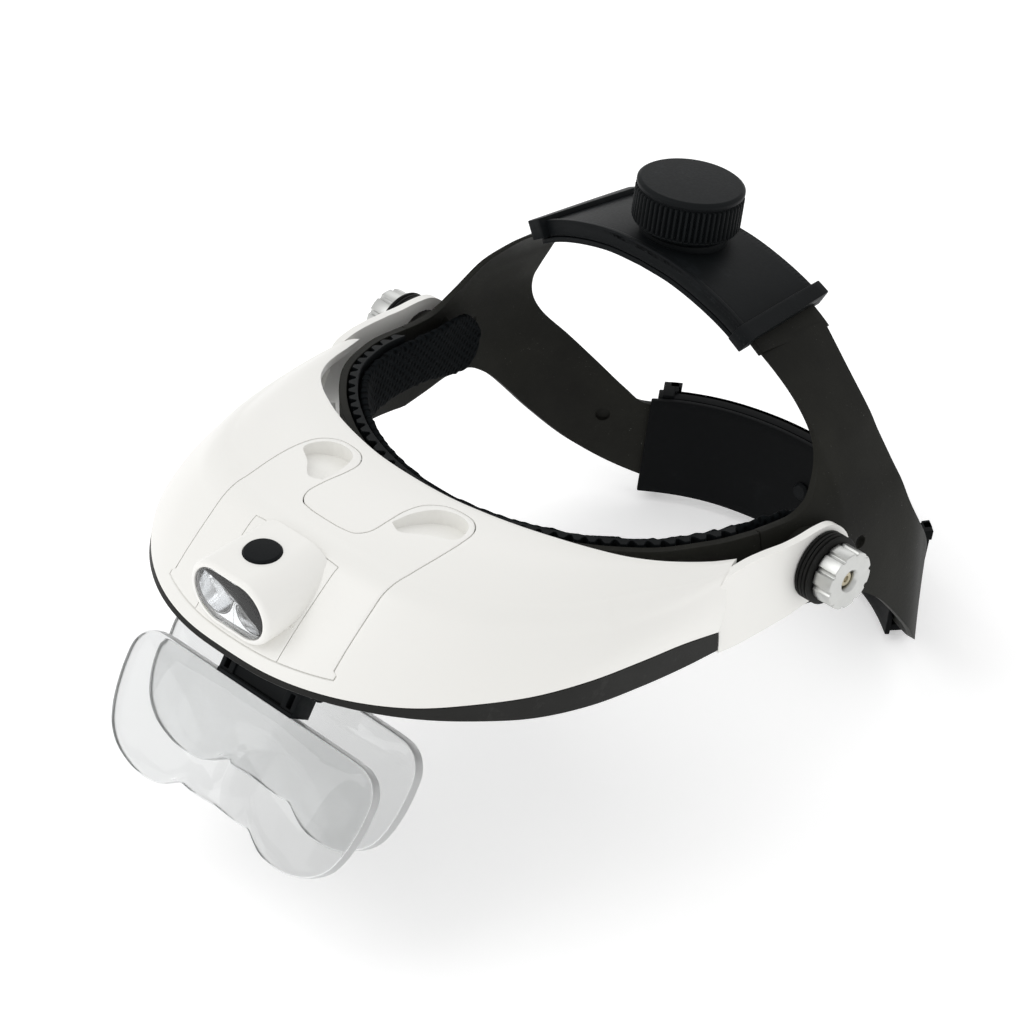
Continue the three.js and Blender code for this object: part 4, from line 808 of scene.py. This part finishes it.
def visor_grid(steps):
    """Outer skin of the visor: at each station a cambered top from the inner edge, a rounded crest as a
    quadratic curve, and a wall with a slight bulge down to the lower edge; returned with its outward
    normals."""
    u = np.linspace(0, 1, steps)
    inner, crest, low = (station(k, u)[:, None, :] for k in range(3))
    top, wall = inner - crest, low - crest
    top_len, wall_len = (np.linalg.norm(v, axis=2, keepdims=True) for v in (top, wall))
    r = np.minimum(6.5, top_len * 0.3)
    a, b = crest + top * r / top_len, crest + wall * r / wall_len
    k1 = np.linspace(0, 1, 26, endpoint=False)[None, :, None]
    k2 = np.linspace(0, 1, 12, endpoint=False)[None, :, None]
    k3 = np.linspace(0, 1, 26)[None, :, None]
    flat = inner + (a - inner) * k1
    flat[..., 2:] += 1.6 * np.sin(np.pi * k1) * np.minimum(1, top_len / 30)
    bend = a * (1 - k2) ** 2 + crest * 2 * k2 * (1 - k2) + b * k2 ** 2
    face = b + (low - b) * k3
    out = unit(np.stack([face[..., 0], face[..., 1] + 40, 0 * face[..., 0]], 2))
    face = face + out * 0.9 * np.sin(np.pi * k3)
    grid = np.concatenate([flat, bend, face], 1)
    n = normals_of(grid)
    n = np.where(n[..., 2:] < 0, -n, n)
    away = n[..., 0] * grid[..., 0] + n[..., 1] * (grid[..., 1] + 30)
    wall_part = np.arange(grid.shape[1])[None, :] > 36
    return grid, np.where((wall_part & (away < 0))[..., None], -n, n)


VISOR, VISOR_N = visor_grid(241)


def visor_layer(name, outer, inner):
    """Slab of the visor skin between two depths under its outer face."""
    return slab(name, VISOR - VISOR_N * outer, VISOR - VISOR_N * inner)


cover_rear = line([(0, -110.3), (6, -110), (10, -108.9), (12.3, -105.5), (12.4, -99), (12, -92), (13, -85.6),
                   (16.6, -81.2),
                   (21.5, -79.9), (26.5, -80.6), (30.2, -84.4), (31.6, -91), (31.8, -99), (31.3, -109),
                   (30.9, -118.5)], 110)
COVER_Z = 11.9


def cover_outline(grow):
    """The battery cover seen from above, moved out by grow, both halves."""
    half = np.vstack([cover_rear, [(31.1, -137.2), (32.2, -137.4), (32.2, -175)]])
    d = unit(np.gradient(half, axis=0))
    shape = half + grow * np.stack([-d[:, 1], d[:, 0]], 1)
    shape[0] = (0, half[0, 1] + grow)
    return np.vstack([shape[:0:-1] * (-1, 1), shape])[::-1]


def plate_opening(grow):
    return block("lamp_opening", -16 - grow, 16 + grow, -175, -120.6 + grow, 0, 60)


scoop_outline = line([(13.4, -98.5), (14.2, -90.5), (17, -84), (21.6, -81.6), (26.3, -82.6), (29.2, -86.4),
                      (29.6, -90.5),
                      (24, -94.5), (17.5, -99.8), (13.4, -98.5)], 90)[:-1]
scoop_grown = (scoop_outline - (21.5, -90.3)) * (1.14, 1.1) + (21.5, -90.3)


def above_scoop(name, drop):
    return prism(name, [(-108, 32.6 - drop), (-80.6, 24.6 - drop), (-78, 24.6 - drop), (-78, 50), (-108, 50)], 5, 40,
                 "x")


def battery_cover():
    """Skin of the visor inside the cover's outline, with a finger scoop let into each rear corner over a
    thicker patch."""
    skin = visor_layer("battery_lid", 0, VISOR_WALL)
    for s in (1, -1):
        pad_part = combined(visor_layer("patch", 0.2, 8), prism("grown", scoop_grown * (s, 1), 10, 60, "z"),
                            "INTERSECT")
        under = above_scoop("under", 2)
        cut = combined(prism("scoop", scoop_outline * (s, 1), 10, 60, "z"), above_scoop("floor", 0) if s > 0 else
                       mirror_points(above_scoop("floor", 0)), "INTERSECT")
        combined(pad_part, under if s > 0 else mirror_points(under), "INTERSECT")
        combined(skin, pad_part, "UNION")
        combined(skin, cut, "DIFFERENCE")
    combined(skin, prism("outline", cover_outline(-0.19), COVER_Z + 0.19, 60, "z"), "INTERSECT")
    combined(skin, plate_opening(0.14), "DIFFERENCE")
    return beveled(skin, 0.22, 2, 38, 30)


arm_outline = line([(-44, 5), (-40, 8.4), (-37, 11.6), (-34, 13.7), (-28, 14.5), (-21, 14), (-14, 12.9), (-7, 12),
                    (0, 11.6),
                    (5.5, 10.4), (9.6, 7.2), (12.4, 2.8), (13.2, -1.4), (11.6, -6.4), (8, -9.8), (3, -11.6),
                    (-5, -11.8),
                    (-14, -12), (-26, -12.2), (-37.2, -12)], 130)
arm_outline = np.vstack([arm_outline, [(-37.2, -4.8), (-41, -2), (-44, 1)]])


def visor_arm(side):
    """Flat arm round the pivot, leaning inwards ahead of it, with rounded edges."""
    arm = prism("arm", arm_outline, ARM_X - ARM_T, ARM_X, "x")
    combined(arm, turned("bolt_hole", [(0, 70), (2.7, 70), (2.7, 90), (0, 90)], X_AXES, (0, 0, 0), 40),
             "DIFFERENCE")
    arm.modifiers.new("fine", "TRIANGULATE")
    settled(arm)
    bm = bmesh.new()
    bm.from_mesh(arm.data)
    for y in np.linspace(-0.043, -0.009, 18):
        bmesh.ops.bisect_plane(bm, geom=bm.verts[:] + bm.edges[:] + bm.faces[:], plane_co=(0, y, 0),
                               plane_no=(0, 1, 0))
    bm.to_mesh(arm.data)
    bm.free()
    co = coordinates(arm) * 1000
    co[:, 0] += 0.09 * np.minimum(0, co[:, 1] + 12.5) - 0.012 * np.minimum(0, co[:, 1] + 30) ** 2
    arm.data.vertices.foreach_set("co", (co / 1000).ravel())
    beveled(arm, 0.55, 3, 60, 30)
    return arm if side > 0 else mirror_points(arm)


shell = visor_layer("visor_body", 0, VISOR_WALL)
combined(shell, prism("cover_hole", cover_outline(0.19), COVER_Z - 0.19, 60, "z"), "DIFFERENCE")
shell = beveled(shell, 0.22, 2, 38, 30)
shell = joined("visor_body", [shell, visor_arm(1), visor_arm(-1)], 30)
dressed(shell, "visor", WHITE, "white", "visor_shell")
dressed(battery_cover(), "cover", WHITE, "white", "battery_cover")

# ---- black rim under the visor ----
def trim():
    """Rim below the visor's lower edge: an L section of wall and floor carried along the station curves, and
    the floor plate that carries the lamp and the batteries."""
    u = np.linspace(0, 1, 241)
    low, edge = station(2, u), station(3, u)
    down = unit(edge - low)
    start = low + down * (GAP + 0.05)
    inward = unit(np.stack([-edge[:, 0], -(edge[:, 1] + 55), 0 * u], 1))
    width = (5 + 30 * (1 - eased(0.28, 0.62, abs(2 * u - 1))))[:, None]
    up = np.array([0, 0, 2.0])
    middle = (start + edge) / 2
    floor = edge + inward * width
    outer = [start, middle, edge - down * 0.5, edge + inward * 0.5, edge + inward * 2.6, floor]
    inner = [start + inward * 1.9, middle + inward * 1.95, edge + inward * 1.95 + up * 1.3, edge + inward * 2 + up,
             edge + inward * 2.7 + up, floor + up]
    rim = slab("rim", np.stack(outer, 1), np.stack(inner, 1))
    return joined("visor_rim", [rim, block("floor_plate", -31, 31, -138, -97, 7.2, 9.8)], 30)


dressed(trim(), "visor", TRIM, "black", "under_trim")

# ---- lamp ----
POD_Z, POD_R, POD_HALF, POD_FRONT = 23.7, 10.3, 15.2, -145.8


def stadium(half, r, steps=40):
    """Closed outline of two half circles joined by straights: (x, z)."""
    a = np.linspace(0, np.pi, steps)
    right = np.stack([half - r + r * np.sin(a), POD_Z + r * np.cos(a)], 1)
    left = np.stack([-(half - r) - r * np.sin(a), POD_Z - r * np.cos(a)], 1)
    return np.vstack([right, left])


def loft(name, rings, smooth=40):
    """Closed surface through a list of equal closed rings, each an (n, 3) array, the last joined back to the
    first."""
    p = np.stack(rings)
    n, m = p.shape[:2]
    t = np.arange(n * m).reshape(n, m)
    a, b = t, np.roll(t, -1, axis=0)
    c, d = np.roll(b, -1, axis=1), np.roll(a, -1, axis=1)
    return piece(name, p.reshape(-1, 3), list(np.stack([a.ravel(), b.ravel(), c.ravel(), d.ravel()], 1)), smooth)


def pod_ring(y, inset):
    s = stadium(POD_HALF - inset, POD_R - inset)
    return np.stack([s[:, 0], np.full(len(s), y), s[:, 1]], 1)


def lamp_housing():
    """Pod with a rounded front edge and a window mouth, standing out of a sloped plate; two posts under it."""
    edge = [(POD_FRONT + 1.6 * (1 - math.sin(a)), 1.6 * (1 - math.cos(a))) for a in np.linspace(0, math.pi / 2, 8)]
    rings = [pod_ring(-119.2, 0)] + [pod_ring(y, i) for y, i in edge] + \
            [pod_ring(POD_FRONT + 0.15, 1.85), pod_ring(-143.4, 1.9), pod_ring(-143.4, 1.5), pod_ring(-119.2, 1.5)]
    pod = loft("pod", rings)
    above = prism("above", [(-120.9, 31), (-120.9, 60), (-170, 60), (-170, 10.5), (-145, 10.5)], -40, 40, "x")
    combined(pod, above, "INTERSECT")
    button_axes = Z_AXES
    for r, low in ((5.5, 28),):
        combined(pod, turned("hole", [(0, low), (r, low), (r, 40), (0, 40)], button_axes, BUTTON_PLACE, 64),
                 "DIFFERENCE")
    plate = combined(visor_layer("plate", 0, 1.7), block("plate_box", -15.84, 15.84, -175, -120.76, 12.05, 60),
                     "INTERSECT")
    hole = prism("pod_hole", stadium(POD_HALF - 1.5, POD_R - 1.5), -143.4, -100, "y")
    combined(plate, hole, "DIFFERENCE")
    beveled(plate, 0.35, 2, 50)
    posts = [block("post", x - 1.2, x + 1.2, -137, -132.6, 10.1, 19) for x in (13.9, -13.9)]
    return joined("lamp_hood", [pod, plate] + posts, 40)


dressed(lamp_housing(), "visor", WHITE, "white", "lamp_housing")
button_profile = rounded([(0, 31.2), (6.3, 31.2), (6.3, 32), (5.3, 32), (5.3, 34.3), (4.9, 34.75), (0, 34.8)], 0.25)
dressed(turned("lamp_push", button_profile, Z_AXES, BUTTON_PLACE, 72), "button", BLACK, "black",
        "lamp_button")
window = prism("lamp_glass", stadium(POD_HALF - 2.2, POD_R - 2.2), POD_FRONT + 0.2, POD_FRONT + 1.8, "y")
dressed(beveled(window, 0.3, 2, 50), "visor", WINDOW, "clear", "lamp_window")
FORWARD = ((1, 0, 0), (0, 0, 1), (0, -1, 0))
for s, tag in ((1, "left"), (-1, "right")):
    at = (s * 6.6, 0, POD_Z - 0.4)
    k = np.linspace(0, 1, 14)
    bowl = np.vstack([[(2.1, 133)], np.stack([2.8 + 3.5 * np.sqrt(k), 133 + 10 * k], 1), [(5.9, 143)],
                      np.stack([2.1 + 3.8 * np.sqrt(k[::-1]), 133.6 + 9.4 * k[::-1]], 1), [(2.1, 133)]])
    r = POD_R - 1.95
    a = np.linspace(0, np.pi, 40)
    half = np.vstack([np.stack([s * (POD_HALF - 1.95 - r + r * np.sin(a)), POD_Z + r * np.cos(a)], 1),
                      [(s * 0.05, POD_Z - r), (s * 0.05, POD_Z + r)]])
    flange = prism("flange", half, -143, -142.4, "y")
    combined(flange, turned("bore", [(0, 130), (5.95, 130), (5.95, 150), (0, 150)], FORWARD, at, 72), "DIFFERENCE")
    bowl = turned("bowl", bowl, FORWARD, at, 72, smooth=45)
    dressed(joined("lamp_bowl_" + tag, [bowl, flange], 45), "visor", CHROME, "chrome", "reflector_" + tag)
    dome = np.stack([1.7 * np.cos(k * np.pi / 2), 135.3 + 1.6 * np.sin(k * np.pi / 2)], 1)
    die = np.vstack([[(0, 130.3), (1.7, 130.3)], dome])
    dressed(turned("lamp_die_" + tag, die, FORWARD, at, 40), "visor", LED, "led", "led_" + tag)

# ---- lens plates and holders ----
def lens_frame(y, z, tilt):
    """Origin, direction down the plate and direction out of its front."""
    a = math.radians(tilt)
    return np.array([0, y, z]), np.array([0, -math.sin(a), -math.cos(a)]), np.array([0, -math.cos(a), math.sin(a)])


FRONT, REAR = lens_frame(-132.5, -11, 34.6), lens_frame(-117.1, -11, 31.4)
lens_edge = line([(36, 4.6), (42, 5.2), (45.5, 7.2), (47.8, 11), (48.2, 17), (47.5, 24), (46, 30), (43.5, 35),
                  (39, 39),
                  (32, 41.7), (26, 42.3), (20.5, 41.5), (16.5, 39.3), (14, 37.8), (9, 38), (0, 37.6)], 120)
LENS_T, FRONT_BULGE, BACK_BULGE = 3.8, 1.3, 0.5


def lens_plate(name, where):
    """Clear plate: rings of the outline stepped round its rounded rim, then drawn in towards the middle over
    both faces. Each face is crowned once for each eye: its height falls with the square of the distance from
    that eye's centre, and fades to nothing at the rim."""
    origin, down, front = where
    half = np.vstack([[(12, 4.6)], lens_edge])
    outline = np.vstack([half, half[-2::-1] * (-1, 1)])
    n = len(outline)
    d = unit(np.gradient(outline, axis=0))
    out = np.stack([d[:, 1], -d[:, 0]], 1)
    if (out[n // 4] * (outline[n // 4] - (0, 22))).sum() < 0:
        out = -out

    def at(points, depth):
        return origin + points[:, :1] * np.array([1.0, 0, 0]) + points[:, 1:] * down + np.reshape(depth,
                                                                                                  (-1, 1)) * front

    def face(share, bulge):
        flat = (0, 21) + (outline + out * -0.8 - (0, 21)) * share
        near = np.minimum(np.hypot(flat[:, 0] - 26, flat[:, 1] - 22), np.hypot(flat[:, 0] + 26, flat[:, 1] - 22))
        return flat, bulge * np.maximum(0, 1 - (near / 27) ** 2) * (1 - share ** 6)

    shares = 1 - np.linspace(0, 1, 26)[1:-1]
    turn = np.linspace(0, np.pi / 2, 6)
    half_t = LENS_T / 2
    rings = [at(flat, -half_t - rise) for flat, rise in (face(k, BACK_BULGE) for k in shares[::-1])]
    rings += [at(outline + out * (0.8 * np.sin(a) - 0.8), np.full(n, -half_t + 0.8 - 0.8 * np.cos(a))) for a in turn]
    rings += [at(outline + out * (0.8 * np.cos(a) - 0.8), np.full(n, half_t - 0.8 + 0.8 * np.sin(a))) for a in turn]
    rings += [at(flat, half_t + rise) for flat, rise in (face(k, FRONT_BULGE) for k in shares)]
    m = len(rings)
    g = np.arange(m * n).reshape(m, n)
    faces = list(np.stack([g[:-1].ravel(), np.roll(g[:-1], -1, axis=1).ravel(), np.roll(g[1:], -1, axis=1).ravel(),
                           g[1:].ravel()], 1)) + [g[0], g[-1][::-1]]
    plate = piece(name, np.vstack(rings), faces, 40)
    tab = [at(np.array([(x, s)]), [d]) for d in (1.2, -1.2) for x,
           s in ((-11, -1.1), (11, -1.1), (11, 4.7), (-11, 4.7))]
    tab = piece("tab", np.vstack(tab), [np.array(f) for f in ((0, 1, 2, 3), (7, 6, 5, 4), (0, 4, 5, 1), (1, 5, 6, 2),
                                                              (2, 6, 7, 3),
                                                              (3, 7, 4, 0))])
    beveled(tab, 0.2, 2, 50)
    return joined(name, [plate, tab], 40)


def frosted_rim_painted_light(obj, where):
    """The rim's faces, those that look sideways, take the second finish: rougher and less clear than the plate, and
    paler, the paleness being painted light for the brightness the plate's edges catch.
    """
    obj.data.materials.append(RIM)
    normals = np.empty(len(obj.data.polygons) * 3)
    obj.data.polygons.foreach_get("normal", normals)
    side = abs(normals.reshape(-1, 3) @ where[2]) < 0.8
    obj.data.polygons.foreach_set("material_index", side.astype(np.int32))
    return obj


def holder(name, where):
    """Black clip over the plate's tab: rounded round its hinge pin, a lip along its lower edge and a small slot
    near each end of its front."""
    origin, down, front = where
    outline = np.vstack([[(-3, 3.9), (-3, -3.6)],
                         line([(-2.9, -5.6), (-1.8, -8.8), (0.8, -10.3), (3.4, -8.8), (4.5, -5.6)], 20),
                         [(4.6, -3), (4.6, 3.9)]])
    points = np.stack([origin[1] + front[1] * outline[:, 0] + down[1] * outline[:, 1],
                       origin[2] + front[2] * outline[:, 0] + down[2] * outline[:, 1]], 1)
    body = prism("clip", points, -14.7, 14.7, "x")

    def box(x0, x1, s0, s1, n0, n1):
        corners = [(s0, n0), (s1, n0), (s1, n1), (s0, n1)]
        view = [(origin[1] + front[1] * n + down[1] * s, origin[2] + front[2] * n + down[2] * s) for s, n in corners]
        return prism("box", view, x0, x1, "x")

    combined(body, box(-11.3, 11.3, -1.4, 12, -1.5, 1.5), "DIFFERENCE")
    combined(body, box(-9.6, 9.6, -2.6, 2.4, 3.7, 8), "DIFFERENCE")
    for x in (12.3, -12.3):
        combined(body, box(x - 0.9, x + 0.9, -2.2, 1.9, 2.4, 8), "DIFFERENCE")
    pin = origin + front * 0.8 - down * 7
    combined(body, turned("pin_hole", [(0, -20), (1.5, -20), (1.5, 20), (0, 20)], X_AXES, pin, 32),
             "DIFFERENCE")
    rib = box(-14.7, 14.7, 2.6, 3.9, 4.4, 5.0)
    return beveled(joined(name, [body, rib], 35), 0.22, 2, 50)


frosted_rim_painted_light(dressed(lens_plate("front_magnifier", FRONT), "front_plate", CLEAR, "clear", "front_lens"), FRONT)
frosted_rim_painted_light(dressed(lens_plate("rear_magnifier", REAR), "rear_plate", CLEAR, "clear", "rear_lens"), REAR)
dressed(holder("front_clip_block", FRONT), "front_clip", BLACK, "black", "front_holder")
dressed(holder("rear_clip_block", REAR), "rear_clip", BLACK, "black", "rear_holder")

# ---- pivots ----
for s, tag in ((1, "left"), (-1, "right")):
    axes = ((0, s, 0), (0, 0, 1), (s, 0, 0))
    for where, x in (("inner", RING_X), ("outer", RING_X + RING_T + GAP)):
        ring = rounded([(2.7, x), (RING_R, x), (RING_R, x + 0.75), (RING_R - 0.7, x + 0.95), (RING_R - 0.7, x + 1.2),
                        (RING_R, x + 1.4), (RING_R, x + RING_T), (2.7, x + RING_T), (2.7, x)], 0.25)
        dressed(turned(f"grip_ring_{where}_{tag}", ring, axes, (0, 0, 0), 120), "visor", RUBBER, "black",
                f"friction_ring_{where}_{tag}")
    face = NUT_X + NUT_T
    nut = rounded([(2.7, NUT_X), (NUT_R, NUT_X), (NUT_R, face), (3.5, face), (2.7, face - 1.2), (2.7, NUT_X)], 0.45)

    def scalloped(a, r, h):
        wave = np.clip(np.cos(10 * a) * 2.2 - 1.1, 0, 1)
        return r - 0.7 * eased(0.02, 1, wave) * (r > NUT_R - 1.2)

    dressed(turned("wheel_nut_" + tag, nut, axes, (0, 0, 0), 360, scalloped, 32), "nut_" + tag, ALUMINIUM,
            "aluminium",
            "thumb_nut_" + tag)
    end = face - 1.4
    bolt = rounded([(0, 71.1), (3.9, 71.1), (4.2, 71.5), (4.2, 72.1), (2.4, 72.1), (2.4, end - 0.4), (2.0, end),
                    (1.0, end),
                    (0.8, end - 0.8), (0, end - 0.8)], 0.15)
    dressed(turned("pivot_pin_" + tag, bolt, axes, (0, 0, 0), 64), "headband", BRASS, "brass", "pivot_bolt_" + tag)

# ---- finishes of the pieces whose CAD shape stays ----
KEPT = {"pivot_spacer_left": RUBBER, "pivot_spacer_right": RUBBER, "crown_knob_washer": STEEL,
        "nape_knob_washer": STEEL,
        "crown_pinion": BLACK, "nape_pinion": BLACK, "crown_screw": BLACK, "nape_screw": BLACK, "lamp_board": BOARD,
        "lamp_switch": BLACK, "battery_1": CELL, "battery_2": CELL, "battery_3": CELL, "battery_tray": BLACK,
        "contact_left": CONTACT, "contact_right": CONTACT, "holder_bracket": BLACK, "front_pin": STEEL,
        "rear_pin": STEEL}
for node, finish in KEPT.items():
    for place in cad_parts[node].material_slots:
        place.material = finish

# ---- floor, light and camera ----
floor_z = cad_box[0][2] * 1000 - 0.5
floor = piece("studio_floor", [(-4000, -4000, floor_z), (4000, -4000, floor_z), (4000, 4000, floor_z),
                               (-4000, 4000, floor_z)],
              [np.array((0, 1, 2, 3))])
paper = Finish("studio_paper", Specular_IOR_Level=0.1, Emission_Color=(1, 1, 1, 1), Emission_Strength=0.3)
floor.data.materials.append(paper.feed(Base_Color=paper.mix(paper.noise(3, 2), (0.93, 0.93, 0.93),
                                                            (0.95, 0.95, 0.95)),
                                       Roughness=0.9 + paper.noise(80) * 0.08))


def soft_light(name, place, target, size, power, color=(1, 1, 1)):
    lamp = bpy.data.lights.new(name, "AREA")
    lamp.shape = "RECTANGLE"
    lamp.size, lamp.size_y = size
    lamp.energy = power
    lamp.color = color
    obj = bpy.data.objects.new(name, lamp)
    obj.location = place
    obj.rotation_euler = (Vector(target) - Vector(place)).to_track_quat("-Z", "Y").to_euler()
    scene.collection.objects.link(obj)


soft_light("key_panel", (-0.5, -1.0, 1.6), (0, -0.03, 0), (1.2, 1.2), 8)
soft_light("side_panel", (1.5, -0.1, 0.7), (0, -0.03, 0), (0.8, 1.0), 0.6)
soft_light("back_panel", (-0.9, 1.2, 1.0), (0, 0, 0), (1.2, 0.8), 2.5)
soft_light("window_panel", (-0.558, -0.914, 0.284), (0, -0.145, -0.029), (0.28, 0.26), 0.3)
world = bpy.data.worlds.new("studio")
world.use_nodes = True
world.node_tree.nodes["Background"].inputs["Color"].default_value = (1, 1, 1, 1)
world.node_tree.nodes["Background"].inputs["Strength"].default_value = 0.78
scene.world = world
scene.view_settings.view_transform = "Standard"

camera = bpy.data.objects.new("view_camera", bpy.data.cameras.new("view_camera"))
camera.data.lens = 140.625
camera.data.sensor_width = 36
camera.data.clip_end = 20
camera.location = (0.630, -0.6781, 0.6829)
camera.rotation_euler = Vector((-0.5576, 0.5654, -0.6078)).to_track_quat("-Z", "Y").to_euler()
scene.collection.objects.link(camera)
scene.camera = camera
